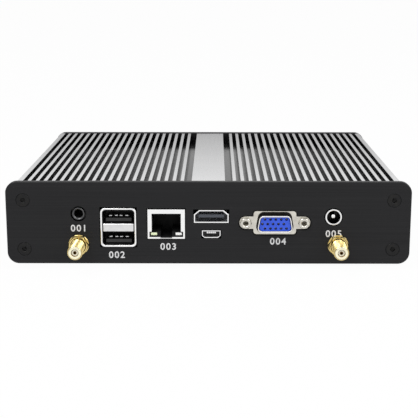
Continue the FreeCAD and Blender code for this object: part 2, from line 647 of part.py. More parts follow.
def finned_housing():
    """Inverted channel with a finned crown, finned sides, rails, ledges and screw channels."""
    case = Body("finned_housing", y="port_back")
    length = "case_depth - 2 * panel_thickness"
    outline = case.sketch("outline")
    right = (
        ("wall_outer", "fin_top"),
        ("wall_outer", "side_fin_top"),
        ("body_half", "side_fin_top"),
        ("body_half", "base_under"),
        ("wall_inner", "base_under"),
        ("wall_inner", "base_top"),
        ("wall_inner - ledge_width", "base_top"),
        ("wall_inner - ledge_width", "ledge_top"),
        ("wall_inner", "ledge_top"),
        ("wall_inner", "ceiling"),
        ("rail_middle + rail_width / 2", "ceiling"),
        ("rail_middle + rail_width / 2", "board_top"),
        ("rail_middle - rail_width / 2", "board_top"),
        ("rail_middle - rail_width / 2", "ceiling"),
    )
    left = tuple((f"-({across})", up) for across, up in reversed(right))
    polygon(outline, right + left)
    case.feature("Pad", outline, "channel", length, back=True)

    bosses = case.sketch("bosses")
    for name, across, up in corners():
        circle(bosses, across, up, "boss_radius")
    case.feature("Pad", bosses, "screw_channels", length, back=True)

    wide = case.sketch("wide_grooves")
    for sign in ("", "-"):
        rectangle(wide, f"{sign}(centre_strip / 2)", f"{sign}(centre_strip / 2 + wide_groove)",
                  "groove_floor", "fin_top + shoulder")
    case.feature("Pocket", wide, "strip_grooves", back=False).Midplane = True

    for side, sign in (("right", ""), ("left", "-")):
        groove = case.sketch(side + "_groove")
        rectangle(groove, f"{sign}(first_groove)", f"{sign}(first_groove + fin_groove)",
                  "groove_floor", "fin_top + shoulder")
        pocket = case.feature("Pocket", groove, side + "_slot", back=False)
        pocket.Midplane = True
        case.row(pocket, groove, "H_Axis", "fin_grooves", "(fin_grooves - 1) * fin_pitch",
                 side + "_fins", back=sign == "-")

    flank = case.sketch("side_groove")
    for sign in ("", "-"):
        rectangle(flank, f"{sign}(wall_outer)", f"{sign}(body_half + side_fin_depth)",
                  "side_fin_top - side_pitch", "side_fin_top - side_fin_thickness")
    pocket = case.feature("Pocket", flank, "side_slot", back=False)
    pocket.Midplane = True
    case.row(pocket, flank, "V_Axis", "side_grooves", "(side_grooves - 1) * side_pitch",
             "side_fins", back=True)

    taps = case.sketch("panel_taps")
    for name, across, up in corners():
        circle(taps, across, up, "tapped_radius")
    case.feature("Pocket", taps, "panel_taps_cut", back=False).Midplane = True

    ledge_taps = case.sketch("base_taps", "XY_Plane", "base_top")
    for across, along in base_screw_places():
        circle(ledge_taps, across, f"{along} - (port_back)", "tapped_radius")
    case.feature("Pocket", ledge_taps, "base_taps_cut", "ledge_thickness", back=True)

    rail_taps = case.sketch("board_taps", "XY_Plane", "board_top")
    for across, along in board_screw_places():
        circle(rail_taps, across, f"{along} - (port_back)", "tapped_radius")
    case.feature("Pocket", rail_taps, "board_taps_cut",
                 "board_screw_length - board_thickness + thread_clearance", back=True)

    for name, across, up, radius in (("shoulders", "wall_outer", "fin_top", "shoulder"),
                                     ("keels", "body_half", "base_under", "keel")):
        doc.recompute()
        tip = case.body.Tip
        edges = [f"Edge{number}" for number, edge in enumerate(tip.Shape.Edges, start=1)
                 if edge.Length > value("case_depth") / 2
                 and abs(edge.CenterOfMass.z - value(up)) < 1e-4
                 and abs(abs(edge.CenterOfMass.x) - value(across)) < 1e-4]
        item = case.body.newObject("PartDesign::Fillet", "finned_housing_" + name)
        item.Base = (tip, edges)
        bind(item, Radius=radius)
    return case.body


# Base cover, screws and feet

def base_screw_places():
    for sign in ("", "-"):
        for along in ("port_face + base_screw_end", "rear_face - base_screw_end"):
            yield f"{sign}(wall_inner - base_screw_inset)", along


def board_screw_places():
    for sign in ("", "-"):
        for along in ("port_face + board_screw_end", "rear_face - board_screw_end"):
            yield f"{sign}(rail_middle)", along


def base_cover():
    """Flat plate under the ledges, countersunk from below."""
    cover = Body("cover_plate", y="port_back + cover_clearance", z="base_under")
    plate = cover.sketch("outline", "XY_Plane")
    half = "wall_inner - cover_clearance"
    rectangle(plate, f"-({half})", half, "0", "case_depth - 2 * panel_thickness - 2 * cover_clearance")
    cover.feature("Pad", plate, "plate", "base_thickness")
    solid = cover.body
    tools = []
    for index, (across, along) in enumerate(base_screw_places()):
        tools.append(rod(f"base_hole{index}", across, along, "base_under", "plain_radius",
                         "base_thickness", "z"))
        tools.append(cone(f"base_sink{index}", across, along, "base_under",
                          "screw_head_radius + hole_clearance", "plain_radius",
                          "screw_head_height", "z"))
    return cut("base_cover_drilled", solid, *tools)


def base_screws():
    return several("base_screw_set", [
        screw(f"base_screw{index}", across, along, "base_under", "base_screw_length", "z")
        for index, (across, along) in enumerate(base_screw_places())])


def foot(name, side, end):
    across = f"{side}(case_width / 2 - foot_side_inset)"
    along = "port_face + foot_end_inset" if end == "front" else "rear_face - foot_end_inset"
    return cone(name, across, along, "0", "foot_radius - foot_taper", "foot_radius",
                "foot_height + base_rise", "z")


# End panels

def plate(name, half, front):
    """A rounded end plate whose lower left corner follows the case."""
    panel = Body(name, y=front)
    outline = panel.sketch("outline")
    rectangle(outline, f"-({half})", half, "foot_height", "case_top")
    panel.feature("Pad", outline, "plate", "panel_thickness", back=True)
    panel.round_ends("panel_corner")
    return panel.body


def panel_screw_holes(name, outer, face, back):
    """Countersunk holes for the four panel screws."""
    tools = []
    for corner, across, up in corners():
        tools.append(rod(f"{name}_{corner}_hole", across, face, up, "plain_radius", "panel_thickness"))
        sink = cone(f"{name}_{corner}_sink", across, outer, up, "screw_head_radius + hole_clearance",
                    "plain_radius", "screw_head_height")
        if back:
            put(sink, across, outer, up, Rotation(Vector(1, 0, 0), 90))
        tools.append(sink)
    return tools


def window(name, middle, width, low, height, y="port_face"):
    """A square hole round a port, with the port's clearance all round."""
    return centred(name, middle, f"{width} + 2 * port_clearance", (y, "panel_thickness"),
                   (f"({low}) - port_clearance", f"({height}) + 2 * port_clearance"))


def port_panel():
    """The panel with every port's hole cut to the port's own size."""
    tools = panel_screw_holes("port_panel", "port_face", "port_face", False)
    tools += [
        window("data_hole", "data_place", "data_width", "board_face - data_stack_height",
               "data_stack_height"),
        window("network_hole", "network_place", "network_width", "network_top - network_height",
               "network_height"),
        window("video_hole", "video_place", "video_width", "video_top - video_height", "video_height"),
        window("service_hole", "video_place", "service_width", "service_face - service_height",
               "service_height"),
        analog_middle_block("analog_hole", "port_face", "panel_thickness", "port_clearance"),
        *ears("ear_hole", "port_face", "panel_thickness", "analog_ear_radius + port_clearance"),
        rod("power_hole", "power_place", "port_face", "power_middle",
            "power_sleeve_radius + port_clearance", "panel_thickness"),
        rod("audio_hole", "audio_place", "port_face", "audio_middle",
            "audio_ring_radius + 2 * port_clearance", "panel_thickness"),
    ]
    for side, sign in (("left", "-"), ("right", "")):
        tools.append(rod(f"antenna_{side}_hole", f"{sign}(antenna_across)", "port_face",
                         "antenna_middle", "antenna_thread_radius + hole_clearance",
                         "panel_thickness"))
    solid = plate("port_plate", "case_width / 2", "port_face")
    return cut("port_panel_drilled", solid, *tools)


def power_panel():
    """The opposite panel, flush with the side fins, with the switch, lamps and data ports."""
    tools = panel_screw_holes("power_panel", "rear_face", "rear_front", True)
    for index in range(2):
        tools.append(window(f"rear_data_hole{index}", rear_data_middle(index), "data_width",
                            "board_face - rear_data_height", "rear_data_height", "rear_front"))
        tools.append(rod(f"status_hole{index}", status_middle(index), "rear_front", "button_middle",
                         "status_radius + thread_clearance", "panel_thickness"))
    tools.append(rod("switch_hole", "button_place", "rear_front", "button_middle",
                     "barrel_radius + hole_clearance", "panel_thickness"))
    solid = plate("power_plate", "body_half", "rear_front")
    return cut("power_panel_drilled", solid, *tools)


def panel_screws(name, face, back):
    return several(name, [
        screw(f"{name}_{corner}", across, face, up, "panel_screw_length", "y", back)
        for corner, across, up in corners()])


# Main board and what it carries

def main_board():
    board = centred("board_blank", "0", "2 * (board_half)",
                    ("port_back + board_end_gap",
                     "case_depth - 2 * panel_thickness - 2 * board_end_gap"),
                    ("board_face", "board_thickness"))
    holes = [rod(f"board_hole{index}", across, along, "board_face", "plain_radius",
                 "board_thickness", "z")
             for index, (across, along) in enumerate(board_screw_places())]
    return cut("board_drilled", board, *holes)


def board_screws():
    """Flat-headed screws, heads down, through the board into the rails."""
    return several("board_screw_set", [
        screw(f"board_screw{index}", across, along, "board_face - screw_head_height",
              "screw_head_height + board_screw_length", "z", sunk=False)
        for index, (across, along) in enumerate(board_screw_places())])


def on_board(name, middle, width, start, depth, height):
    """A chip on the board's lower face."""
    return centred(name, middle, width, (f"port_face + {start}", depth),
                   (f"board_face - {height}", height))


def processor():
    substrate = centred("processor_base", "0", "processor_width",
                        ("port_face + processor_place - processor_depth / 2", "processor_depth"),
                        ("board_top", "processor_height / 2"))
    die = centred("processor_die", "0", "processor_width / 2",
                  ("port_face + processor_place - processor_depth / 4", "processor_depth / 2"),
                  ("board_top + processor_height / 2", "processor_height / 2"))
    return join("processor_solid", substrate, die)


def thermal_pad():
    return centred("pad_solid", "0", "processor_width",
                   ("port_face + processor_place - processor_depth / 2", "processor_depth"),
                   ("board_top + processor_height", "rail_drop - processor_height"))


def card_socket(name, middle, width, start):
    """A plug-in card's socket with the card's slot left open at the rear."""
    shell = centred(name + "_shell", middle, f"{width} + 2 * socket_wall",
                    (f"port_face + {start}", "card_socket_depth"),
                    ("card_face - card_thickness - socket_wall",
                     "card_drop + card_thickness + socket_wall"))
    slot = centred(name + "_slot", middle, width,
                   (f"port_face + {start} + card_socket_depth - card_grip", "card_grip"),
                   ("card_face - card_thickness", "card_thickness"))
    return cut(name, shell, slot)


def plug_in_card(name, middle, length, chips):
    """A card in its socket, with a half-round notch for its screw and its chips below."""
    start = "port_face + card_start + card_socket_depth - card_grip"
    sheet_ = centred(name + "_sheet", middle, "card_width", (start, length),
                     ("card_face - card_thickness", "card_thickness"))
    notch = rod(name + "_notch", middle, f"{start} + {length}", "card_face - card_thickness",
                "plain_radius", "card_thickness", "z")
    pieces = [cut(name + "_board", sheet_, notch)]
    for index, (offset, width, depth) in enumerate(chips):
        pieces.append(centred(f"{name}_chip{index}", middle, width,
                              (f"{start} + {offset}", depth),
                              ("card_face - card_thickness - card_chip_height", "card_chip_height")))
    return join(name, *pieces)


def card_post(name, middle, length):
    """The hexagon post that a card's free end is screwed to."""
    along = f"port_face + card_start + card_socket_depth - card_grip + {length}"
    post = hexagon(name + "_post", middle, along, "card_face", "2 * card_post_radius",
                   "card_drop", "z")
    bore = rod(name + "_bore", middle, along, "card_face", "tapped_radius", "card_drop", "z")
    return cut(name, post, bore)


def card_screw(name, middle, length):
    along = f"port_face + card_start + card_socket_depth - card_grip + {length}"
    return screw(name, middle, along, "card_face - card_thickness - screw_head_height",
                 "screw_head_height + card_thickness + card_drop - thread_clearance", "z",
                 sunk=False)


def memory_socket():
    """Socket body with an arm along each side of the module."""
    height = ("memory_face - memory_thickness - socket_wall",
              "memory_drop + memory_thickness + socket_wall")
    pieces = [centred("memory_bar", "0", "memory_width + 2 * memory_arm",
                      ("port_face + memory_start", "memory_socket_depth"), height)]
    for side, left in (("left", "-memory_width / 2 - memory_arm"), ("right", "memory_width / 2")):
        pieces.append(block(f"memory_arm_{side}", (left, "memory_arm"),
                            ("port_face + memory_start + memory_socket_depth",
                             "memory_length - card_grip"), height))
    slot = centred("memory_slot", "0", "memory_width", ("memory_edge", "card_grip"),
                   ("memory_face - memory_thickness", "memory_thickness"))
    return cut("memory_socket_solid", join("memory_frame", *pieces), slot)


def memory_module():
    pieces = [centred("memory_sheet", "0", "memory_width", ("memory_edge", "memory_length"),
                      ("memory_face - memory_thickness", "memory_thickness"))]
    for index in range(4):
        pieces.append(centred(
            f"memory_chip{index}", f"({index} - 1.5) * memory_chip_pitch", "memory_chip_width",
            ("memory_edge + memory_chip_start", "memory_chip_depth"),
            ("memory_face - memory_thickness - memory_chip_height", "memory_chip_height")))
    return join("memory_module_solid", *pieces)


def cell_holder():
    """Round tray under the board that the clock battery snaps into."""
    along = "port_face + cell_start"
    tray = rod("cell_tray", "card_place", along, "board_face - cell_seat - cell_height / 2",
               "cell_radius + cell_wall", "cell_seat + cell_height / 2", "z")
    well = rod("cell_well", "card_place", along, "board_face - cell_seat - cell_height / 2",
               "cell_radius + thread_clearance", "cell_height / 2", "z")
    return cut("cell_holder_solid", tray, well)


def clock_battery():
    return rod("cell_can", "card_place", "port_face + cell_start",
               "board_face - cell_seat - cell_height", "cell_radius", "cell_height", "z")


def board_chips():
    """Controllers beside the ports that they serve."""
    chips = (("network_chip", "network_place", "network_chip_start"),
             ("audio_chip", "audio_place", "audio_chip_start"),
             ("bridge_chip", "bridge_place", "bridge_chip_start"),
             ("video_chip", "analog_place", "video_chip_start"),
             ("rear_chip", "bridge_place", "case_depth - rear_chip_inset"))
    return several("chip_set", [on_board(side + "_body", middle, side, start, side, "chip_height")
                                for side, middle, start in chips])


def capacitors():
    return several("capacitor_set", [
        rod(f"capacitor{index}", "power_place - capacitor_offset",
            f"port_face + capacitor_start + {index} * capacitor_pitch",
            "board_face - capacitor_height", "capacitor_radius", "capacitor_height", "z")
        for index in range(2)])


def inductors():
    return several("inductor_set", [
        on_board(f"inductor{index}", f"inductor_place - {index} * inductor_pitch", "inductor_side",
                 "inductor_start", "inductor_side", "inductor_height")
        for index in range(3)])


# Data ports

def data_shell(name, middle, face, back, height, slot_tops):
    """Drawn sheet box with round corners and a window for each slot."""
    low = f"board_face - {height}"
    blank = centred(name + "_blank", middle, "data_width", (face, "data_depth"), (low, height))
    box = rounded(name + "_box", blank, "data_corner", runs_along("y"))
    tools = [centred(name + "_hollow", middle, "data_width - 2 * data_wall",
                     (f"{face} + data_wall" if not back else face, "data_depth - data_wall"),
                     (f"{low} + data_wall", f"{height} - 2 * data_wall"))]
    for index, top in enumerate(slot_tops):
        tools.append(centred(f"{name}_slot{index}", middle, "data_slot_width",
                             (face if not back else f"{face} + data_depth - data_wall",
                              "data_wall"),
                             (f"{top} - data_slot_height", "data_slot_height")))
    return cut(name, box, *tools)


def data_mouth(face, back):
    """The low Y side of the slots inside a data port."""
    return f"{face} + data_depth - data_wall - data_slot_depth" if back else f"{face} + data_wall"


def data_core(name, middle, face, back, height, slot_tops):
    """Moulded block behind the slots with a tongue in each; it fills the shell."""
    low = f"board_face - {height}"
    mass = centred(name + "_block", middle, "data_width - 2 * data_wall",
                   (face if back else f"{face} + data_wall", "data_depth - data_wall"),
                   (f"{low} + data_wall", f"{height} - 2 * data_wall"))
    mouth = data_mouth(face, back)
    setback = "0" if back else "tongue_setback"
    slots, tongues = [], []
    for index, top in enumerate(slot_tops):
        slots.append(centred(f"{name}_slot{index}", middle, "data_slot_width",
                             (mouth, "data_slot_depth"),
                             (f"{top} - data_slot_height", "data_slot_height")))
        tongues.append(centred(f"{name}_tongue{index}", middle, "tongue_width",
                               (f"{mouth} + {setback}", "data_slot_depth - tongue_setback"),
                               (f"{top} - data_slot_height + tongue_lift", "tongue_height")))
    return join(name, cut(name + "_hollow", mass, *slots), *tongues)


def data_contacts(name, middle, face, back, slot_tops):
    """Four flat contacts on each tongue."""
    setback = "0" if back else "tongue_setback"
    strips = []
    for index, top in enumerate(slot_tops):
        for number, offset in enumerate(("-strip_outer", "-strip_inner", "strip_inner",
                                         "strip_outer")):
            strips.append(centred(
                f"{name}{index}_{number}", f"{middle} + {offset}", "strip_width",
                (f"{data_mouth(face, back)} + {setback} + strip_margin",
                 "data_slot_depth - tongue_setback - 2 * strip_margin"),
                (f"{top} - data_slot_height + tongue_lift + tongue_height", "strip_thickness")))
    return several(name, strips)


def rear_data_middle(index):
    return f"rear_data_place + {index} * rear_data_pitch"


def status_middle(index):
    return f"status_place - {index} * status_pitch"


# Network jack

def network_openings(name, y, depth, latch):
    """The cavity and the latch notch under it as cutting boxes."""
    cavity = centred(name + "_cavity", "network_place", "network_slot_width", (y, depth),
                     ("network_slot_low", "network_slot_height"))
    notch = centred(name + "_latch", "network_place", "latch_width", (y, depth),
                    (f"network_slot_low - ({latch})", latch))
    return [cavity, notch]


def lamp_lefts():
    yield "network_place - network_width / 2 + lamp_inset"
    yield "network_place + network_width / 2 - lamp_inset - lamp_width"


def lamp_box(name, left, y, depth):
    return block(name, (left, "lamp_width"), (y, depth), ("lamp_top - lamp_height", "lamp_height"))


def network_shell():
    """Folded sheet box, open at the front for the cavity, the lamps and the latch."""
    start = "port_face - port_proud"
    low = "network_top - network_height"
    box = centred("network_box", "network_place", "network_width", (start, "network_depth"),
                  (low, "network_height"))
    hollow = centred("network_hollow", "network_place", "network_width - 2 * shell_thickness",
                     (f"{start} + shell_thickness", "network_depth - shell_thickness"),
                     (f"{low} + shell_thickness", "network_height - 2 * shell_thickness"))
    row = centred("network_lamp_row", "network_place", "lamp_row_width", (start, "shell_thickness"),
                  ("network_slot_low - lamp_row_height", "lamp_row_height"))
    return cut("network_shell_solid", box, hollow, row,
               *network_openings("network_face", start, "shell_thickness",
                                 f"network_slot_low - ({low})"))


def network_insert():
    """Moulded block with the cavity, the latch notch and a pocket for each lamp."""
    start = "port_face - port_proud + shell_thickness"
    low = "network_top - network_height + shell_thickness"
    mass = centred("network_block", "network_place", "network_width - 2 * shell_thickness",
                   (start, "network_depth - shell_thickness"),
                   (low, "network_height - 2 * shell_thickness"))
    pockets = [lamp_box(f"network_pocket{index}", left, start, "network_slot_depth")
               for index, left in enumerate(lamp_lefts())]
    return cut("network_insert_solid", mass, *pockets,
               *network_openings("network_insert", start, "network_slot_depth", "latch_height"))


def network_contacts():
    """Eight spring wires that slope down from the roof of the cavity."""
    wires = []
    for index in range(8):
        points = (("0", "wire_top"), ("wire_length", "wire_top - wire_fall"),
                  ("wire_length", "wire_top - wire_fall - wire_thickness"),
                  ("0", "wire_top - wire_thickness"))
        sketch = doc.addObject("Sketcher::SketchObject", f"network_wire{index}_outline")
        put(sketch, f"network_place + ({index} - 3.5) * wire_pitch - wire_width / 2",
            "port_face - port_proud + shell_thickness + wire_start", "0",
            Rotation(Vector(1, 1, 1), 120))
        polygon(sketch, points)
        wire = doc.addObject("Part::Extrusion", f"network_wire{index}")
        wire.Base = sketch
        wire.DirMode = "Custom"
        wire.Dir = Vector(1, 0, 0)
        wire.Solid = True
        bind(wire, LengthFwd="wire_width")
        wires.append(wire)
    return several("network_wires", wires)


def network_lamp(name, left):
    return lamp_box(name, left, "port_face - port_proud + shell_thickness", "network_slot_depth")


# Digital video port and service port

def video_outline(inset):
    """Wide side down, as the board hangs above it; the top corners slope in."""
    low = f"video_top - video_height + {inset}"
    outer = f"video_width / 2 - {inset}"
    right = ((outer, low), (outer, f"video_top - video_height + video_side - {inset} / 2"),
             (f"video_top_width / 2 - {inset} / 2", f"video_top - {inset}"))
    left = tuple((f"-({across})", up) for across, up in reversed(right))
    return [(f"video_place + {across}", up) for across, up in right + left]


def video_shell():
    outer = profile("video_outer", video_outline("0"), "small_port_face", "video_depth")
    inner = profile("video_inner", video_outline("video_wall"), "small_port_face", "video_depth")
    return cut("video_shell_solid", outer, inner)


def video_core():
    """Tongue in the middle of the shell, rooted in a block that reaches up to the board."""
    end = "small_port_face + video_depth"
    start = "port_face + video_tongue_start"
    root = profile("video_root", video_outline("video_wall"), f"{end} - core_depth", "core_depth")
    tongue = centred("video_tongue", "video_place", "video_tongue_width",
                     (start, f"{end} - core_depth - ({start})"),
                     ("video_top - video_height / 2 - video_tongue_drop", "video_tongue_height"))
    foot_ = centred("video_foot", "video_place", "video_foot_width", (end, "video_foot_depth"),
                    ("video_top - video_height", "video_height + video_drop"))
    return join("video_core_solid", root, tongue, foot_)


def service_outline(inset):
    """Wide side up, seated on the service board; the lower corners slope in."""
    low = f"service_face - service_height + {inset}"
    slope = "service_face - service_height + service_slope"
    outer = f"service_width / 2 - {inset}"
    right = ((f"service_low_width / 2 - {inset} / 2", low), (outer, slope),
             (outer, f"service_face - {inset}"))
    left = tuple((f"-({across})", up) for across, up in reversed(right))
    return [(f"video_place + {across}", up) for across, up in right + left]


def service_shell():
    outer = profile("service_outer", service_outline("0"), "small_port_face", "service_depth")
    inner = profile("service_inner", service_outline("service_wall"), "small_port_face",
                    "service_depth")
    return cut("service_shell_solid", outer, inner)


def service_core():
    """Tongue in the middle of the shell, rooted in a block at its rear."""
    end = "small_port_face + service_depth"
    start = "port_face + service_tongue_start"
    root = profile("service_root", service_outline("service_wall"),
                   f"{end} - service_core_depth", "service_core_depth")
    tongue = centred("service_tongue", "video_place", "service_tongue_width",
                     (start, f"{end} - service_core_depth - ({start})"),
                     ("service_face - service_tongue_drop", "service_tongue_height"))
    return join("service_core_solid", root, tongue)


def service_board():
    return centred("service_sheet", "video_place", "service_board_width",
                   ("port_back + board_end_gap", "service_board_depth"),
                   ("service_face", "service_board_thickness"))


def service_header():
    """Stacking header that carries the service board from the main board."""
    end = "port_back + board_end_gap + service_board_depth - header_inset"
    return centred("header_block", "video_place", "header_width",
                   (f"{end} - header_depth", "header_depth"),
                   ("service_face + service_board_thickness",
                    "service_drop - service_board_thickness"))


# Analog video port

def d_outline(width, height):
    """A D with its wide side down, sloping in by ten degrees at each side."""
    lean = f"({height}) * tan(10 deg)"
    low = f"analog_middle - ({height}) / 2"
    high = f"analog_middle + ({height}) / 2"
    return [(f"analog_place - ({width}) / 2", low), (f"analog_place + ({width}) / 2", low),
            (f"analog_place + ({width}) / 2 - {lean}", high),
            (f"analog_place - ({width}) / 2 + {lean}", high)]


def rounded_d(name, width, height, y, length, radius):
    return rounded(name, profile(name + "_sharp", d_outline(width, height), y, length), radius,
                   runs_along("y"))


def ears(name, y, length, radius):
    """The slot-shaped part that joins the two jackscrews, as three overlapping solids."""
    pieces = [centred(name + "_neck", "analog_place", "jackscrew_spacing", (y, length),
                      (f"analog_middle - ({radius})", f"2 * ({radius})"))]
    for index, sign in enumerate(("-", "")):
        pieces.append(rod(f"{name}_ear{index}", f"analog_place + {sign}(jackscrew_spacing / 2)",
                          y, "analog_middle", radius, length))
    return pieces


def analog_middle_block(name, y, length, grow):
    """The rounded middle of the flange, or a hole that follows it."""
    sharp = centred(name + "_sharp", "analog_place", f"analog_body_width + 2 * ({grow})",
                    (y, length), (f"analog_middle - analog_body_height / 2 - ({grow})",
                                  f"analog_body_height + 2 * ({grow})"))
    return rounded(name, sharp, f"analog_body_corner + ({grow})", runs_along("y"))


def analog_flange():
    """Flange with two ears, and the hollow D-shaped rim that stands in a groove of it."""
    middle = analog_middle_block("analog_middle_plate", "flange_face", "analog_flange_thickness", "0")
    groove = rounded_d("analog_groove", "analog_rim_width + 2 * analog_gap",
                       "analog_rim_height + 2 * analog_gap", "flange_face",
                       "analog_flange_thickness - analog_web", "analog_rim_corner + analog_gap")
    rim = rounded_d("analog_rim", "analog_rim_width", "analog_rim_height",
                    "port_face - analog_rim_reach",
                    "analog_rim_reach + analog_flange_depth + analog_flange_thickness - analog_web",
                    "analog_rim_corner")
    bore = rounded_d("analog_bore", "analog_rim_width - 2 * analog_rim_wall",
                     "analog_rim_height - 2 * analog_rim_wall", "port_face - analog_rim_reach",
                     "analog_rim_reach + analog_flange_depth + analog_flange_thickness",
                     "analog_rim_corner - analog_rim_wall")
    holes = [rod(f"analog_ear_hole{index}", f"analog_place + {sign}(jackscrew_spacing / 2)",
                 "flange_face", "analog_middle", "plain_radius", "analog_flange_thickness")
             for index, sign in enumerate(("-", ""))]
    plate_ = join("analog_plate", middle,
                  *ears("flange", "flange_face", "analog_flange_thickness", "analog_ear_radius"))
    metal = join("analog_metal", cut("analog_grooved", plate_, groove), rim)
    return cut("analog_flange_solid", metal, bore, *holes)


def analog_insert():
    """Insulator with three rows of five contact holes."""
    front = "port_face - analog_rim_reach + analog_insert_setback"
    length = f"flange_back - ({front})"
    inner = rounded_d("analog_insert_body", "analog_rim_width - 2 * analog_rim_wall",
                      "analog_rim_height - 2 * analog_rim_wall", front, length,
                      "analog_rim_corner - analog_rim_wall")
    holes = []
    for row_number, shift in ((-1, 0.5), (0, -0.5), (1, 0.5)):
        for column in range(5):
            holes.append(hexagon(
                f"analog_hole{row_number + 1}{column}",
                f"analog_place - contact_shift + ({column - 2} + {shift} / 2) * contact_spacing",
                front, f"analog_middle + {row_number} * contact_row_spacing",
                "2 * contact_hole_radius", "contact_hole_depth"))
    return cut("analog_insert_solid", inner, *holes)


def analog_block():
    """Moulded block behind the flange; its rear part reaches up to the board."""
    length = "port_back + port_clearance - (flange_back)"
    neck = analog_middle_block("analog_block_neck", "flange_back", length, "0")
    low = "analog_middle - analog_body_height / 2"
    mass = centred("analog_mass", "analog_place", "jackscrew_spacing + 2 * analog_ear_radius",
                   ("port_back + port_clearance", f"analog_depth - ({length})"),
                   (low, f"board_face - ({low})"))
    holes = [rod(f"analog_pocket{index}", f"analog_place + {sign}(jackscrew_spacing / 2)",
                 "flange_back", "analog_middle", "tapped_radius", "jackscrew_length")
             for index, sign in enumerate(("-", ""))]
    return cut("analog_block_solid",
               join("analog_moulding", neck, mass,
                    *ears("block", "flange_back", length, "analog_ear_radius")), *holes)


def jackscrews():
    items = []
    for index, sign in enumerate(("-", "")):
        across = f"analog_place + {sign}(jackscrew_spacing / 2)"
        nut = hexagon(f"jackscrew_nut{index}", across, "port_face - jackscrew_reach",
                      "analog_middle", "jackscrew_width", "jackscrew_reach + analog_flange_depth")
        shank = rod(f"jackscrew_shank{index}", across, "flange_face", "analog_middle",
                    "screw_radius", "analog_flange_thickness + jackscrew_length - mate_clearance")
        bore = rod(f"jackscrew_bore{index}", across, "port_face - jackscrew_reach",
                   "analog_middle", "jackscrew_bore", "jackscrew_reach + jackscrew_depth")
        items.append(cut(f"jackscrew{index}", join(f"jackscrew_blank{index}", nut, shank), bore))
    return several("jackscrew_pair", items)


# Power jack and audio jack

def power_jack_sleeve():
    front = "port_face - power_sleeve_proud"
    length = "power_bore_depth + power_sleeve_proud"
    tube = rod("power_tube", "power_place", front, "power_middle", "power_sleeve_radius", length)
    bore = rod("power_bore", "power_place", front, "power_middle", "power_bore_radius", length)
    return cut("power_sleeve_solid", tube, bore)


def power_jack_body():
    half = "power_body_width / 2"
    mass = centred("power_mass", "power_place", "power_body_width",
                   ("port_back + port_clearance", "power_body_depth"),
                   (f"power_middle - {half}", f"power_drop + {half}"))
    seat = rod("power_seat", "power_place", "port_face", "power_middle", "power_sleeve_radius",
               "power_bore_depth")
    pin_seat = rod("power_pin_seat", "power_place", "port_face", "power_middle",
                   "power_root_radius", "power_bore_depth + power_pin_grip")
    return cut("power_body_solid", mass, seat, pin_seat)


def power_jack_pin():
    """Pin with a chamfered tip on a thinner root."""
    tip = "port_face + power_pin_setback"
    pin = rod("power_pin_rod", "power_place", tip, "power_middle", "power_pin_radius",
              "power_bore_depth - power_pin_setback - mate_clearance")
    shape = bevelled("power_pin_tip", pin, "power_pin_chamfer",
                     lambda edge: edge.Closed and edge.CenterOfMass.y < value(tip) + 1)
    root = rod("power_pin_root", "power_place", tip, "power_middle", "power_root_radius",
               "power_bore_depth - power_pin_setback + power_pin_grip")
    return join("power_pin_shape", shape, root)


def audio_jack_ring():
    length = "panel_thickness + port_clearance - port_setback"
    tube = rod("audio_tube", "audio_place", "small_port_face", "audio_middle",
               "audio_ring_radius", length)
    bore = rod("audio_tube_bore", "audio_place", "small_port_face", "audio_middle",
               "audio_bore_radius", length)
    lead = cone("audio_mouth", "audio_place", "small_port_face", "audio_middle",
                "audio_bore_radius + audio_lead", "audio_bore_radius", "audio_lead")
    return cut("audio_ring_solid", tube, bore, lead)


def audio_jack_body():
    half = "audio_body_width / 2"
    mass = centred("audio_mass", "audio_place", "audio_body_width",
                   ("port_back + port_clearance", "audio_body_depth"),
                   ("board_face - audio_body_width", "audio_body_width"))
    bore = rod("audio_bore", "audio_place", "port_face", "audio_middle", "audio_bore_radius",
               "audio_bore_depth")
    return cut("audio_body_solid", mass, bore)


# Antenna connectors

def antenna_body(side, across):
    """Turned body: threaded barrel, shoulder inside the panel and a tail for the lead."""
    body = Body(f"antenna_connector_{side}")
    outline = body.sketch("section", "XY_Plane")
    tip = "port_face - antenna_reach"
    polygon(outline, (
        ("0", f"{tip} + antenna_mouth_depth + insulator_length"),
        ("antenna_bore_radius", f"{tip} + antenna_mouth_depth + insulator_length"),
        ("antenna_bore_radius", tip),
        ("antenna_thread_radius - antenna_lead", tip),
        ("antenna_thread_radius", f"{tip} + antenna_lead"),
        ("antenna_thread_radius", "nut_face - mate_clearance"),
        ("antenna_neck_radius", "nut_face - mate_clearance"),
        ("antenna_neck_radius", "port_back"),
        ("antenna_shoulder_radius", "port_back"),
        ("antenna_shoulder_radius", "port_back + antenna_shoulder_length"),
        ("antenna_tail_radius", "port_back + antenna_shoulder_length"),
        ("antenna_tail_radius", "port_back + antenna_shoulder_length + antenna_tail_length"),
        ("0", "port_back + antenna_shoulder_length + antenna_tail_length"),
    ))
    body.spin(outline, "turned")
    put(body.body, across, "0", "antenna_middle")
    return body.body


def antenna_insulator(name, across):
    """Pale insulator in the mouth with the bore for the centre contact."""
    start = "port_face - antenna_reach + antenna_mouth_depth"
    disc = rod(name + "_disc", across, start, "antenna_middle", "antenna_bore_radius",
               "insulator_length")
    bore = rod(name + "_bore", across, start, "antenna_middle", "antenna_contact_radius",
               "insulator_length")
    return cut(name, disc, bore)


def antenna_contact(name, across):
    start = "port_face - antenna_reach + antenna_mouth_depth - contact_proud"
    pin = rod(name + "_pin", across, start, "antenna_middle", "antenna_contact_radius",
              "insulator_length + contact_proud")
    bore = rod(name + "_bore", across, start, "antenna_middle", "antenna_socket_radius",
               "antenna_socket_depth")
    return cut(name, pin, bore)


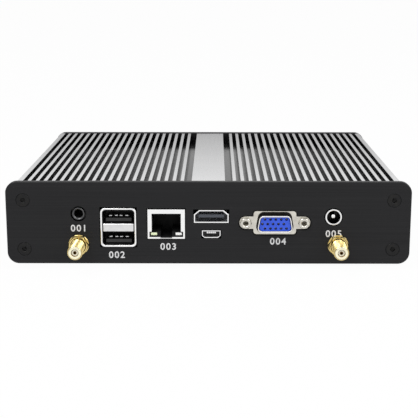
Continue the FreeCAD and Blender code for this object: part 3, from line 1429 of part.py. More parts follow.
def antenna_washer(name, across):
    disc = rod(name + "_disc", across, "port_face - washer_thickness", "antenna_middle",
               "washer_radius", "washer_thickness")
    hole = rod(name + "_hole", across, "port_face - washer_thickness", "antenna_middle",
               "antenna_thread_radius + thread_clearance", "washer_thickness")
    return cut(name, disc, hole)


def antenna_nut(name, across):
    """Hexagon nut, its corners turned off at the outer face."""
    nut = hexagon(name + "_blank", across, "nut_face", "antenna_middle", "nut_width",
                  "nut_thickness")
    dome = cone(name + "_dome", across, "nut_face", "antenna_middle", "nut_width / 2",
                "nut_width / 2 + nut_thickness * nut_chamfer_slope", "nut_thickness")
    turned = doc.addObject("Part::Common", name + "_turned")
    turned.Base = nut
    turned.Tool = dome
    hole = rod(name + "_hole", across, "nut_face", "antenna_middle",
               "antenna_thread_radius + thread_clearance", "nut_thickness")
    return cut(name, turned, hole)


# Power switch and status lamps on the opposite panel

def switch_body():
    """Round switch: bezel outside, threaded barrel inside, bored for the button."""
    inside = "rear_front - barrel_length"
    barrel = rod("switch_barrel", "button_place", inside, "button_middle", "barrel_radius",
                 "barrel_length + panel_thickness")
    bezel = cone("switch_bezel", "button_place", "rear_face", "button_middle", "bezel_radius",
                 "bezel_radius - bezel_thickness", "bezel_thickness")
    neck = rod("switch_neck", "button_place", "bezel_face - button_length", "button_middle",
               "button_radius + button_clearance", "button_length")
    well = rod("switch_well", "button_place",
               "bezel_face + button_proud - button_length - button_travel - button_clearance",
               "button_middle", "button_radius + button_clearance + button_collar",
               "button_length - bezel_thickness - button_proud + button_travel")
    return cut("switch_body_solid", join("switch_metal", barrel, bezel), neck, well)


def switch_nut():
    nut = hexagon("switch_nut_blank", "button_place", "rear_front - barrel_nut_thickness",
                  "button_middle", "barrel_nut_width", "barrel_nut_thickness")
    hole = rod("switch_nut_hole", "button_place", "rear_front - barrel_nut_thickness",
               "button_middle", "barrel_radius + thread_clearance", "barrel_nut_thickness")
    return cut("switch_nut_solid", nut, hole)


def power_button():
    """Button held behind the bezel by its collar; it slides in along -Y."""
    cap = rod("button_cap", "button_place", "bezel_face + button_proud - button_length",
              "button_middle", "button_radius", "button_length")
    crown = bevelled("button_crown", cap, "button_chamfer",
                     lambda edge: edge.Closed and edge.CenterOfMass.y > value("bezel_face"))
    collar = rod("button_collar", "button_place", "bezel_face + button_proud - button_length",
                 "button_middle", "button_radius + button_collar", "collar_thickness")
    return join("power_button_solid", crown, collar)


def status_lamp(name, index):
    """Lamp pushed into the panel from inside, up to its collar."""
    across = status_middle(index)
    stem = rod(name + "_stem", across, "rear_front - status_length", "button_middle",
               "status_radius", "status_length + panel_thickness + status_proud")
    flange = rod(name + "_flange", across, "rear_front - collar_depth", "button_middle",
                 "status_radius + status_collar", "collar_depth")
    return join(name, stem, flange)


# Assembly: one labelled sub-part for each node

STACK = ("stack_slot_top", "stack_slot_top - data_pitch")
SINGLE = ("single_slot_top",)


def build():
    subpart("finned_housing", finned_housing())
    subpart("base_cover", base_cover())
    subpart("base_screws", base_screws())
    subpart("rubber_feet", several("foot_set", [
        foot(f"{end}_{side}_foot", sign, end)
        for side, sign in (("left", "-"), ("right", "")) for end in ("front", "rear")]))
    subpart("port_panel", port_panel())
    subpart("port_panel_screws", panel_screws("port_screw", "port_face", False))
    subpart("power_panel", power_panel())
    subpart("power_panel_screws", panel_screws("rear_screw", "rear_face", True))

    subpart("main_board", main_board())
    subpart("board_screws", board_screws())
    subpart("processor", processor())
    subpart("thermal_pad", thermal_pad())
    subpart("memory_socket", memory_socket())
    subpart("memory_module", memory_module())
    cards = (("storage", "-card_place", "storage_length", ((10, 14, 12), (28, 12, 16))),
             ("wireless", "card_place", "wireless_length", ((8, 15, 14),)))
    sockets, posts, screws = [], [], []
    for name, middle, length, chips in cards:
        sockets.append(card_socket(name + "_socket", middle, "card_width", "card_start"))
        subpart(name + "_card", plug_in_card(name + "_card_solid", middle, length, chips))
        posts.append(card_post(name + "_post", middle, length))
        screws.append(card_screw(name + "_screw", middle, length))
    subpart("card_sockets", several("card_socket_pair", sockets))
    subpart("card_posts", several("card_post_pair", posts))
    subpart("card_screws", several("card_screw_pair", screws))
    subpart("cell_holder", cell_holder())
    subpart("clock_battery", clock_battery())
    subpart("board_chips", board_chips())
    subpart("capacitors", capacitors())
    subpart("inductors", inductors())

    front = "port_face - port_proud"
    subpart("data_port_shell", data_shell("stack_shell", "data_place", front, False,
                                          "data_stack_height", STACK))
    subpart("data_port_core", data_core("stack_core", "data_place", front, False,
                                        "data_stack_height", STACK))
    subpart("data_port_contacts", data_contacts("stack_contact", "data_place", front, False, STACK))
    subpart("network_jack_shell", network_shell())
    subpart("network_jack_insert", network_insert())
    subpart("network_jack_contacts", network_contacts())
    subpart("network_jack_lamps", several("network_lamps", [
        network_lamp(f"network_lamp{index}", left) for index, left in enumerate(lamp_lefts())]))
    subpart("video_port_shell", video_shell())
    subpart("video_port_core", video_core())
    subpart("service_port_shell", service_shell())
    subpart("service_port_core", service_core())
    subpart("service_board", service_board())
    subpart("service_header", service_header())
    subpart("analog_port_flange", analog_flange())
    subpart("analog_port_insert", analog_insert())
    subpart("analog_port_block", analog_block())
    subpart("analog_port_jackscrews", jackscrews())
    subpart("power_jack_body", power_jack_body())
    subpart("power_jack_sleeve", power_jack_sleeve())
    subpart("power_jack_pin", power_jack_pin())
    subpart("audio_jack_body", audio_jack_body())
    subpart("audio_jack_ring", audio_jack_ring())
    sides = (("left", "-(antenna_across)"), ("right", "antenna_across"))
    for side, across in sides:
        subpart(f"antenna_connector_{side}", antenna_body(side, across))
    for name, maker in (("antenna_insulators", antenna_insulator),
                        ("antenna_contacts", antenna_contact),
                        ("antenna_washers", antenna_washer), ("antenna_nuts", antenna_nut)):
        subpart(name, several(name + "_pair", [
            maker(f"{name}_{side}", across) for side, across in sides]))

    rear = "rear_face - data_depth + port_proud"
    middles = [rear_data_middle(index) for index in range(2)]
    subpart("rear_data_shells", several("rear_shells", [
        data_shell(f"rear_shell{index}", middle, rear, True, "rear_data_height", SINGLE)
        for index, middle in enumerate(middles)]))
    subpart("rear_data_cores", several("rear_cores", [
        data_core(f"rear_core{index}", middle, rear, True, "rear_data_height", SINGLE)
        for index, middle in enumerate(middles)]))
    subpart("rear_data_contacts", several("rear_contacts", [
        strip for index, middle in enumerate(middles)
        for strip in data_contacts(f"rear_contact{index}", middle, rear, True, SINGLE).Links]))
    subpart("switch_body", switch_body())
    subpart("switch_nut", switch_nut())
    subpart("power_button", power_button())
    subpart("status_lamps", several("status_pair", [
        status_lamp(f"status_lamp{index}", index) for index in range(2)]))


def check():
    """Every object recomputed and every sub-part sound before anything is written."""
    doc.recompute()
    for item in doc.Objects:
        if "Invalid" in item.State or "Error" in item.State:
            raise RuntimeError(f"{item.Name} is not sound: {item.State}")
    for item in subparts:
        if item.Shape.isNull() or not item.Shape.isValid():
            raise RuntimeError(f"{item.Label} has no valid shape")


def write():
    os.makedirs("parts", exist_ok=True)
    for item in subparts:
        item.Shape.exportStep(f"parts/{item.Label}.step")


def report():
    """Print what was built: solids and boxes."""
    for item in subparts:
        box = item.Shape.BoundBox
        print(f"{item.Label:26s} solids {len(item.Shape.Solids)}"
              f" x {box.XMin:7.2f} {box.XMax:7.2f} y {box.YMin:7.2f} {box.YMax:7.2f}"
              f" z {box.ZMin:6.2f} {box.ZMax:6.2f}")
    print(f"{len(subparts)} sub-parts")


build()
check()
write()
report()
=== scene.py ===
"""Looks of the fanless industrial mini computer: finishes, connectors, studio and camera.

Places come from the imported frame. Small sizes and drawn outlines are in millimetres.
"""

import json
import math

import bmesh
import bpy
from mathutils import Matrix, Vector


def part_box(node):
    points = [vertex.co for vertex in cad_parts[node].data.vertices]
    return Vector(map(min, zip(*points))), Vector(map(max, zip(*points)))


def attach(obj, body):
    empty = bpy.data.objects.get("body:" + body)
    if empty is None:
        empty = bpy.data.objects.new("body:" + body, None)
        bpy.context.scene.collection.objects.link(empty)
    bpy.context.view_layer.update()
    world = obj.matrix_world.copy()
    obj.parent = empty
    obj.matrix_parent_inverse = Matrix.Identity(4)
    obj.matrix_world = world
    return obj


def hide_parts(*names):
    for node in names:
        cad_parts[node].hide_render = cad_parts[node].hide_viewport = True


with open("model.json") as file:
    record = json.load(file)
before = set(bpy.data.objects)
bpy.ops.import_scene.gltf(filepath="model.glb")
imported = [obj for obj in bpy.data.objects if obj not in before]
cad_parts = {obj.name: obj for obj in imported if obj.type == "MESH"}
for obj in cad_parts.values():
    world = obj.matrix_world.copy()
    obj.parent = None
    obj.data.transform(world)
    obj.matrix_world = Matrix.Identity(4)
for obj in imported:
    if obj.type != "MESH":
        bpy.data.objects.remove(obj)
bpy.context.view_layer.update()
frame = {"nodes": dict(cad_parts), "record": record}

MM = 0.001
NODES = frame["nodes"]


# Places read from the frame, in millimetres

def low(node):
    return Vector(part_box(node)[0]) / MM


def high(node):
    return Vector(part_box(node)[1]) / MM


def middle(node):
    return (low(node) + high(node)) / 2


def axis(node):
    """Where the line along Y through a node's middle is, as (x, z)."""
    return middle(node).x, middle(node).z


def span(node):
    """Where a node starts and ends along Y."""
    return low(node).y, high(node).y


PANEL_FACE = low("port_panel").y
REAR_FACE = high("power_panel").y
PANEL_LOW = low("port_panel").z
FIN_TOP = high("finned_housing").z


# Node helpers for the materials

class Nodes:
    """The nodes of one material or world."""

    def __init__(self, owner):
        owner.use_nodes = True
        self.tree = owner.node_tree
        self.tree.nodes.clear()

    def add(self, kind):
        return self.tree.nodes.new(kind)

    def link(self, start, end):
        self.tree.links.new(start, end)

    def math(self, operation, first, second=None):
        node = self.add("ShaderNodeMath")
        node.operation = operation
        for socket, item in zip(node.inputs, (first, second)):
            if item is None:
                continue
            if isinstance(item, (int, float)):
                socket.default_value = item
            else:
                self.link(item, socket)
        return node.outputs[0]

    def mix_shaders(self, factor, first, second):
        node = self.add("ShaderNodeMixShader")
        for start, socket in zip((factor, first.outputs[0], second.outputs[0]), node.inputs):
            self.link(start, socket)
        return node.outputs[0]

    def show_white(self, plain, white, strength, output):
        """White for the camera and for reflections, plain otherwise."""
        path = self.add("ShaderNodeLightPath").outputs
        seen = self.math("MAXIMUM", path["Is Camera Ray"], path["Is Glossy Ray"])
        also = self.math("MAXIMUM", seen, path["Is Transmission Ray"])
        mix = self.mix_shaders(self.math("MULTIPLY", also, strength), plain, self.add(white))
        self.link(mix, self.add(output).inputs["Surface"])


class Finish(Nodes):
    """A material with its principled shader and the node links that give it detail."""

    def __init__(self, name, colour, metallic, roughness, specular=0.5):
        self.material = bpy.data.materials.new(name)
        super().__init__(self.material)
        self.output = self.add("ShaderNodeOutputMaterial")
        self.shader = self.add("ShaderNodeBsdfPrincipled")
        self.link(self.shader.outputs[0], self.output.inputs["Surface"])
        self.place = self.add("ShaderNodeTexCoord").outputs["Object"]
        self.set("Base Color", (*colour, 1.0))
        self.set("Metallic", metallic)
        self.set("Roughness", roughness)
        self.set("Specular IOR Level", specular)
        self.colour = colour

    def set(self, socket, value):
        self.shader.inputs[socket].default_value = value

    def stretched(self, x, y, z):
        """Object coordinates scaled along each axis, for grain with a direction."""
        mapping = self.add("ShaderNodeMapping")
        mapping.inputs["Scale"].default_value = (x, y, z)
        self.link(self.place, mapping.inputs["Vector"])
        return mapping.outputs["Vector"]

    def noise(self, scale, detail=3.0, place=None):
        texture = self.add("ShaderNodeTexNoise")
        texture.inputs["Scale"].default_value = scale
        texture.inputs["Detail"].default_value = detail
        self.link(place or self.place, texture.inputs["Vector"])
        return texture.outputs["Fac"]

    def spread(self, factor, start, end, from_low=0.3, from_high=0.7):
        """Maps a factor to a range."""
        node = self.add("ShaderNodeMapRange")
        names = ("From Min", "From Max", "To Min", "To Max")
        for name, value in zip(names, (from_low, from_high, start, end)):
            node.inputs[name].default_value = value
        self.link(factor, node.inputs["Value"])
        return node.outputs["Result"]

    def blend(self, factor, first, second):
        """Mixes two colours, or the links that give them, by a factor."""
        node = self.add("ShaderNodeMix")
        node.data_type = "RGBA"
        self.link(factor, node.inputs[0])
        for socket, item in zip(node.inputs[6:8], (first, second)):
            if isinstance(item, tuple):
                socket.default_value = (*item, 1.0)
            else:
                self.link(item, socket)
        return node.outputs[2]

    def parts(self, vector):
        """The X, Y and Z of a vector."""
        node = self.add("ShaderNodeSeparateXYZ")
        self.link(vector, node.inputs[0])
        return node.outputs

    def facing(self):
        """The X, Y and Z of the surface's own direction."""
        return self.parts(self.add("ShaderNodeNewGeometry").outputs["True Normal"])

    def vary_colour(self, factor, second, from_low=0.35, from_high=0.65):
        self.link(self.blend(self.spread(factor, 0.0, 1.0, from_low, from_high), self.colour, second),
                  self.shader.inputs["Base Color"])

    def vary_roughness(self, factor, start, end):
        self.link(self.spread(factor, start, end), self.shader.inputs["Roughness"])

    def bump(self, height, strength, depth, shader=None):
        """Adds a bump, its depth in millimetres, on top of the ones that are there."""
        node = self.add("ShaderNodeBump")
        node.inputs["Strength"].default_value = strength
        node.inputs["Distance"].default_value = depth * MM
        self.link(height, node.inputs["Height"])
        socket = (shader or self.shader).inputs["Normal"]
        if socket.links:
            self.link(socket.links[0].from_socket, node.inputs["Normal"])
        self.link(node.outputs["Normal"], socket)


# Materials

MILLED_DEPTH = 1.2
MILLED_FACING = 0.9
# Painted highlight: a pale cream on the forward faces at the antenna tips, to this depth.
TIP_HIGHLIGHT_DEPTH = 0.3
TIP_HIGHLIGHT_FACING = 0.9
TIP_HIGHLIGHT_COLOUR = (1.0, 0.95, 0.7)
# Painted shade in the antenna thread grooves, fading into the plating towards the crest.
GROOVE_PAINTED_SHADE = (0.2, 0.11, 0.025)
CREST_WIDTH = 0.08
# Facing limit of the painted highlight on the rim's forward edge.
RIM_HIGHLIGHT_FACING = 0.5
THREAD_RADIUS = 3.175
THREAD_ROOT = 2.76


def machined_housing():
    """Bright milled fin tops, darkened towards the rear by painted shade, on black anodised metal."""
    finish = Finish("machined_housing", (0.003, 0.003, 0.0035), 0.0, 0.16, 0.2)
    finish.vary_roughness(finish.noise(900.0), 0.1, 0.18)
    finish.bump(finish.noise(1.0, 3.0, finish.stretched(2500.0, 30.0, 2500.0)), 0.12, 0.02)
    bright = finish.add("ShaderNodeBsdfPrincipled")
    strokes = finish.noise(1.0, 2.0, finish.stretched(9000.0, 60.0, 60.0))
    tint = finish.blend(finish.noise(60.0, 4.0), (0.84, 0.845, 0.85), (0.9, 0.9, 0.905))
    # Painted shade: towards the rear the milled tops blend from silver to this dark grey.
    painted_lighting = finish.blend(finish.noise(60.0, 4.0), (0.36, 0.36, 0.365), (0.43, 0.43, 0.435))
    spot = finish.parts(finish.place)
    rearward = finish.spread(spot["Y"], 0.0, 1.0, PANEL_FACE * MM, REAR_FACE * MM)
    finish.link(finish.blend(rearward, tint, painted_lighting), bright.inputs["Base Color"])
    bright.inputs["Metallic"].default_value = 1.0
    finish.link(finish.spread(strokes, 0.24, 0.4), bright.inputs["Roughness"])
    finish.bump(strokes, 0.15, 0.02, bright)
    level = finish.math("GREATER_THAN", spot["Z"], (FIN_TOP - MILLED_DEPTH) * MM)
    upward = finish.math("GREATER_THAN", finish.facing()["Z"], MILLED_FACING)
    milled = finish.mix_shaders(finish.math("MULTIPLY", level, upward), finish.shader, bright)
    finish.link(milled, finish.output.inputs["Surface"])
    return finish.material


def brushed_black(name, colour, second, roughness, grain):
    """Black coated sheet, drawn along its length, with a fine even grain."""
    finish = Finish(name, colour, 0.0, roughness, 0.22)
    lines = finish.noise(1.0, 4.0, finish.stretched(14.0, 2200.0, 2200.0))
    finish.vary_colour(lines, second)
    finish.vary_roughness(lines, roughness - 0.05, roughness + 0.08)
    finish.bump(lines, grain * 0.5, 0.02)
    finish.bump(finish.noise(9000.0, 2.0), grain, 0.02)
    return finish.material


def black_oxide():
    """Blackened steel, a little brown where the coat is thin."""
    finish = Finish("black_oxide", (0.005, 0.005, 0.006), 0.0, 0.34, 0.22)
    finish.vary_colour(finish.noise(800.0), (0.009, 0.0085, 0.008))
    finish.vary_roughness(finish.noise(2500.0), 0.24, 0.4)
    finish.bump(finish.noise(5000.0), 0.1, 0.02)
    return finish.material


def zinc():
    """Zinc plating with yellowish clouds."""
    finish = Finish("zinc", (0.55, 0.56, 0.58), 1.0, 0.3)
    finish.vary_colour(finish.noise(500.0), (0.64, 0.63, 0.58))
    finish.vary_roughness(finish.noise(1500.0), 0.22, 0.4)
    return finish.material


def rubber():
    """Matt rubber, dusty in places."""
    finish = Finish("rubber", (0.016, 0.016, 0.017), 0.0, 0.75, 0.3)
    finish.vary_colour(finish.noise(300.0, 4.0), (0.028, 0.027, 0.027))
    finish.vary_roughness(finish.noise(900.0), 0.68, 0.85)
    finish.bump(finish.noise(4000.0, 2.0), 0.4, 0.04)
    return finish.material


def moulded(name, colour, second, roughness, specular=0.5):
    """Moulded plastic with a faint spark-eroded texture."""
    finish = Finish(name, colour, 0.0, roughness, specular)
    finish.vary_colour(finish.noise(260.0, 4.0), second)
    finish.vary_roughness(finish.noise(1200.0), roughness - 0.06, roughness + 0.08)
    finish.bump(finish.noise(7000.0, 2.0), 0.12, 0.02)
    return finish.material


def plated(name, colour, second, low_gloss, high_gloss):
    """Plated metal with fine drawing lines and a little cloudiness."""
    finish = Finish(name, colour, 1.0, low_gloss)
    finish.vary_colour(finish.noise(350.0, 4.0), second)
    lines = finish.noise(1.0, 3.0, finish.stretched(400.0, 400.0, 9000.0))
    finish.vary_roughness(lines, low_gloss, high_gloss)
    finish.bump(lines, 0.06, 0.01)
    return finish.material


def turned_gold():
    """Gold plating on turned brass, with painted shade in the thread's grooves and a painted highlight on the
    end face.
    """
    finish = Finish("turned_gold", (0.85, 0.7, 0.28), 1.0, 0.24)
    cloud = finish.blend(finish.noise(350.0, 4.0), (0.74, 0.55, 0.19), (0.88, 0.74, 0.36))
    spot = finish.parts(finish.place)
    centre = middle("antenna_connector_right") * MM
    # Painted shade: the thread grooves are coloured dark brown, by their distance from the barrel's axis.
    across = finish.math("SUBTRACT", finish.math("ABSOLUTE", spot["X"]), abs(centre.x))
    above = finish.math("SUBTRACT", spot["Z"], centre.z)
    squares = [finish.math("MULTIPLY", part, part) for part in (across, above)]
    reach = finish.math("SQRT", finish.math("ADD", *squares))
    crest = finish.spread(reach, 0.0, 1.0, THREAD_ROOT * MM, (THREAD_RADIUS - CREST_WIDTH) * MM)
    shade = finish.blend(crest, GROOVE_PAINTED_SHADE, cloud)
    # Painted highlight: forward faces at the tip take a pale cream colour.
    front = finish.math("LESS_THAN", finish.facing()["Y"], -TIP_HIGHLIGHT_FACING)
    outer = finish.math("LESS_THAN", spot["Y"], (low("antenna_connector_left").y + TIP_HIGHLIGHT_DEPTH) * MM)
    finish.link(finish.blend(finish.math("MULTIPLY", front, outer), shade, TIP_HIGHLIGHT_COLOUR),
                finish.shader.inputs["Base Color"])
    lines = finish.noise(1.0, 3.0, finish.stretched(400.0, 9000.0, 400.0))
    finish.vary_roughness(lines, 0.16, 0.3)
    finish.bump(lines, 0.06, 0.01)
    return finish.material


def rim_metal():
    """Nickel with a painted highlight on its forward edge in front of the panel, and painted shade making the
    walls behind it dark.
    """
    finish = Finish("rim_metal", (0.03, 0.028, 0.026), 1.0, 0.4)
    # Painted highlight and painted shade: a bright copy of the nickel where it faces forward in front of the
    # panel, and a dark copy everywhere else.
    front = finish.math("LESS_THAN", finish.facing()["Y"], -RIM_HIGHLIGHT_FACING)
    painted_lighting = finish.math("LESS_THAN", finish.parts(finish.place)["Y"], PANEL_FACE * MM)
    painted_shade_tone = finish.blend(finish.noise(500.0, 4.0), (0.02, 0.019, 0.018), (0.05, 0.045, 0.04))
    bright = finish.blend(finish.noise(500.0, 4.0), (0.86, 0.86, 0.86), (0.94, 0.94, 0.93))
    finish.link(finish.blend(finish.math("MULTIPLY", front, painted_lighting), painted_shade_tone, bright),
                finish.shader.inputs["Base Color"])
    finish.vary_roughness(finish.noise(1500.0), 0.26, 0.42)
    return finish.material


def board():
    """Green solder mask with darker tracks below it."""
    finish = Finish("board", (0.012, 0.09, 0.035), 0.0, 0.35, 0.5)
    tracks = finish.add("ShaderNodeTexBrick")
    tracks.inputs["Scale"].default_value = 160.0
    finish.link(finish.place, tracks.inputs["Vector"])
    finish.vary_colour(tracks.outputs["Fac"], (0.02, 0.14, 0.055), 0.0, 1.0)
    finish.bump(tracks.outputs["Fac"], 0.2, 0.03)
    finish.vary_roughness(finish.noise(600.0), 0.28, 0.42)
    return finish.material


def lens(name, colour, second):
    """Milky lens, a little clouded."""
    finish = Finish(name, colour, 0.0, 0.25, 0.5)
    finish.vary_colour(finish.noise(500.0, 4.0), second)
    finish.vary_roughness(finish.noise(1500.0), 0.18, 0.32)
    finish.set("Subsurface Weight", 0.3)
    finish.set("Subsurface Radius", (0.001, 0.001, 0.001))
    finish.set("Subsurface Scale", 0.5)
    return finish.material


def printed():
    """Screen-printed ink, a little uneven."""
    finish = Finish("printed", (0.6, 0.6, 0.61), 0.0, 0.6, 0.3)
    finish.vary_colour(finish.noise(2500.0, 4.0), (0.72, 0.72, 0.72))
    finish.vary_roughness(finish.noise(1500.0), 0.5, 0.7)
    return finish.material


MATERIALS = {
    "housing": machined_housing(),
    "panel": brushed_black("panel_black", (0.007, 0.007, 0.008), (0.011, 0.011, 0.012), 0.4, 0.2),
    "base": brushed_black("base_black", (0.01, 0.01, 0.011), (0.016, 0.016, 0.017), 0.46, 0.4),
    "screw": black_oxide(),
    "inner_screw": zinc(),
    "rubber": rubber(),
    "board": board(),
    "chip": moulded("chip", (0.02, 0.02, 0.022), (0.035, 0.034, 0.033), 0.45),
    "pad": moulded("pad", (0.3, 0.36, 0.46), (0.36, 0.42, 0.5), 0.7),
    "dark_plastic": moulded("dark_plastic", (0.01, 0.01, 0.011), (0.018, 0.018, 0.018), 0.35),
    "pale_plastic": moulded("pale_plastic", (0.78, 0.76, 0.7), (0.86, 0.84, 0.78), 0.4),
    "blue_plastic": moulded("blue_plastic", (0.025, 0.08, 0.6), (0.035, 0.1, 0.68), 0.35, 0.35),
    "lamp_green": lens("lamp_green", (0.74, 0.82, 0.5), (0.8, 0.87, 0.6)),
    "port_steel": plated("port_steel", (0.9, 0.9, 0.905), (0.95, 0.95, 0.94), 0.18, 0.32),
    "gold": plated("gold", (0.88, 0.73, 0.4), (0.95, 0.83, 0.54), 0.16, 0.3),
    "switch_steel": plated("switch_steel", (0.56, 0.57, 0.58), (0.64, 0.64, 0.64), 0.2, 0.34),
    "cell": plated("cell", (0.66, 0.66, 0.67), (0.74, 0.74, 0.73), 0.2, 0.35),
    "capacitor": plated("capacitor", (0.7, 0.7, 0.72), (0.76, 0.76, 0.77), 0.25, 0.4),
}
FLANGE_NICKEL = plated("flange_nickel", (0.58, 0.555, 0.5), (0.7, 0.68, 0.61), 0.2, 0.36)
CONTACT_NICKEL = plated("contact_nickel", (0.6, 0.6, 0.62), (0.7, 0.7, 0.7), 0.2, 0.3)
DARK_NICKEL = plated("dark_nickel", (0.08, 0.08, 0.085), (0.12, 0.12, 0.12), 0.25, 0.4)
RIM_METAL = rim_metal()
SATIN_STEEL = plated("satin_steel", (0.7, 0.7, 0.705), (0.76, 0.76, 0.76), 0.3, 0.45)
TURNED_GOLD = turned_gold()
INSULATOR = moulded("insulator", (0.92, 0.88, 0.68), (0.96, 0.93, 0.76), 0.4)
TONGUE_GLOSS = moulded("tongue_gloss", (0.045, 0.052, 0.066), (0.055, 0.062, 0.078), 0.2)
JACK_BLACK = moulded("jack_black", (0.004, 0.004, 0.005), (0.008, 0.008, 0.008), 0.5, 0.15)
WHITE_LENS = lens("lamp_white", (0.86, 0.86, 0.84), (0.92, 0.92, 0.9))
INK = printed()


# CAD nodes: finish and soft edges

EDGE_ROUNDING = {
    "finned_housing": 0.12,
    "base_cover": 0.25,
}
DEFAULT_ROUNDING = 0.08
BEVEL_ANGLE = 35
FLAT_WEIGHT = 90
SAME_PLACE = 0.002
FINISHES = {
    "network_jack_contacts": CONTACT_NICKEL,
    "network_jack_insert": JACK_BLACK,
    "video_port_core": TONGUE_GLOSS,
}


def soften(item, width):
    """A small bevel, with the large flat faces kept flat by weighted normals."""
    bevel = item.modifiers.new("edges", "BEVEL")
    bevel.width = width * MM
    bevel.segments = 2
    bevel.limit_method = "ANGLE"
    bevel.angle_limit = math.radians(BEVEL_ANGLE)
    weighted = item.modifiers.new("normals", "WEIGHTED_NORMAL")
    weighted.weight = FLAT_WEIGHT
    weighted.keep_sharp = True


def dress_frame():
    """Gives each CAD node its finish and soft edges."""
    slots = {part["node"]: part["material_slot"] for part in frame["record"]["subparts"]}
    for name, item in NODES.items():
        item.data.materials.clear()
        item.data.materials.append(FINISHES.get(name, MATERIALS[slots[name]]))
        weld = item.modifiers.new("weld", "WELD")
        weld.merge_threshold = SAME_PLACE * MM
        soften(item, EDGE_ROUNDING.get(name, DEFAULT_ROUNDING))


# Outlines across Y, as points (x, z)

CORNER_STEPS = 5
ROUND_STEPS = 64


def rounded(corners, radius):
    """A convex outline with each corner turned into an arc."""
    outline = []
    for index, corner in enumerate(corners):
        here = Vector(corner)
        before = (Vector(corners[index - 1]) - here).normalized()
        after = (Vector(corners[(index + 1) % len(corners)]) - here).normalized()
        half = before.angle(after) / 2
        centre = here + (before + after).normalized() * (radius / math.sin(half))
        start = here + before * (radius / math.tan(half)) - centre
        end = here + after * (radius / math.tan(half)) - centre
        first = math.atan2(start.y, start.x)
        turn = math.atan2(start.cross(end), start.dot(end))
        for step in range(CORNER_STEPS + 1):
            angle = first + turn * step / CORNER_STEPS
            outline.append((centre.x + radius * math.cos(angle), centre.y + radius * math.sin(angle)))
    return outline


def box_outline(x, z, width, height, radius, lean=0.0):
    """A rounded box, its upper corners drawn in by the lean."""
    half, up = width / 2, height / 2
    return rounded([(x - half, z - up), (x + half, z - up),
                    (x + half - lean, z + up), (x - half + lean, z + up)], radius)


def polar(x, z, radius, count=ROUND_STEPS):
    """A closed outline whose radius is a number or a function of the angle."""
    outline = []
    for index in range(count):
        angle = math.tau * index / count
        reach = radius(angle) if callable(radius) else radius
        outline.append((x + reach * math.cos(angle), z + reach * math.sin(angle)))
    return outline


def hexagon_reach(flats, limit=None):
    """Radius of a hexagon with corners along X, cut by a circle where there is a limit."""
    def reach(angle):
        side = (angle + math.pi / 6) % (math.pi / 3) - math.pi / 6
        edge = flats / 2 / math.cos(math.pi / 6 - abs(side))
        return min(edge, limit) if limit else edge
    return reach


# Building pieces

SMOOTH_ANGLE = 40
FINE_STEPS = 96
NEAR_AXIS = 0.02
LIP = 0.12


class Form:
    """Points and faces of one piece in millimetres."""

    def __init__(self):
        self.points = []
        self.faces = []

    def add(self, points, faces):
        start = len(self.points)
        self.points.extend(points)
        self.faces.extend(tuple(start + corner for corner in face) for face in faces)

    def join(self, loops, closed=False):
        """Joins loops of equally many points; the ends are filled, or joined to each other."""
        count = len(loops[0])
        points = [point for loop in loops for point in loop]
        faces = []
        for row in range(len(loops) if closed else len(loops) - 1):
            here, there = row * count, (row + 1) % len(loops) * count
            for index in range(count):
                after = (index + 1) % count
                faces.append((here + index, here + after, there + after, there + index))
        if not closed:
            faces.append(tuple(range(count)))
            faces.append(tuple(range(len(points) - count, len(points))))
        self.add(points, faces)

    def loft(self, layers, closed=False):
        """Layers are (y, outline)."""
        self.join([[(x, y, z) for x, z in outline] for y, outline in layers], closed)

    def turn(self, x, z, profile, count=ROUND_STEPS, closed=False):
        """A shape turned about Y from (y, radius) pairs; a radius may be a function of the angle."""
        self.loft([(y, polar(x, z, radius, count)) for y, radius in profile], closed)

    def turn_up(self, x, y, profile):
        """A shape turned about Z from (z, radius) pairs."""
        self.join([[(px, py, z) for px, py in polar(x, y, radius)] for z, radius in profile])

    def strip(self, x, width, path, thickness):
        """A bent strip: its underside follows a path of (y, z) points."""
        loops = []
        for index, (y, z) in enumerate(path):
            before = Vector(path[max(index - 1, 0)])
            after = Vector(path[min(index + 1, len(path) - 1)])
            along = (after - before).normalized()
            top_y, top_z = y - along.y * thickness, z + along.x * thickness
            left, right = x - width / 2, x + width / 2
            loops.append([(left, y, z), (right, y, z), (right, top_y, top_z), (left, top_y, top_z)])
        self.join(loops)


def show(name, data):
    """Puts an object into the scene."""
    item = bpy.data.objects.new(name, data)
    bpy.context.scene.collection.objects.link(item)
    return item


def make_piece(name, form, finish, nodes=(), body="case"):
    """Turns a form into an object that rides on a body and stands for its CAD nodes."""
    mesh = bpy.data.meshes.new(name)
    mesh.from_pydata([tuple(value * MM for value in point) for point in form.points], [], form.faces)
    work = bmesh.new()
    work.from_mesh(mesh)
    bmesh.ops.recalc_face_normals(work, faces=work.faces)
    work.to_mesh(mesh)
    work.free()
    mesh.shade_smooth()
    mesh.set_sharp_from_angle(angle=math.radians(SMOOTH_ANGLE))
    place_mesh(name, mesh, finish, nodes, body)


def place_mesh(name, mesh, finish, nodes, body="case"):
    """Puts a finished mesh into the scene on its body."""
    mesh.materials.append(finish)
    item = show(name, mesh)
    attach(item, body)
    if nodes:
        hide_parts(*nodes)


# Panels

PANEL_EDGE = 0.35
HOLE_EDGE = 0.15
CORNER_REACH = 5.8
STEEP = 0.1
FLAT = 0.999


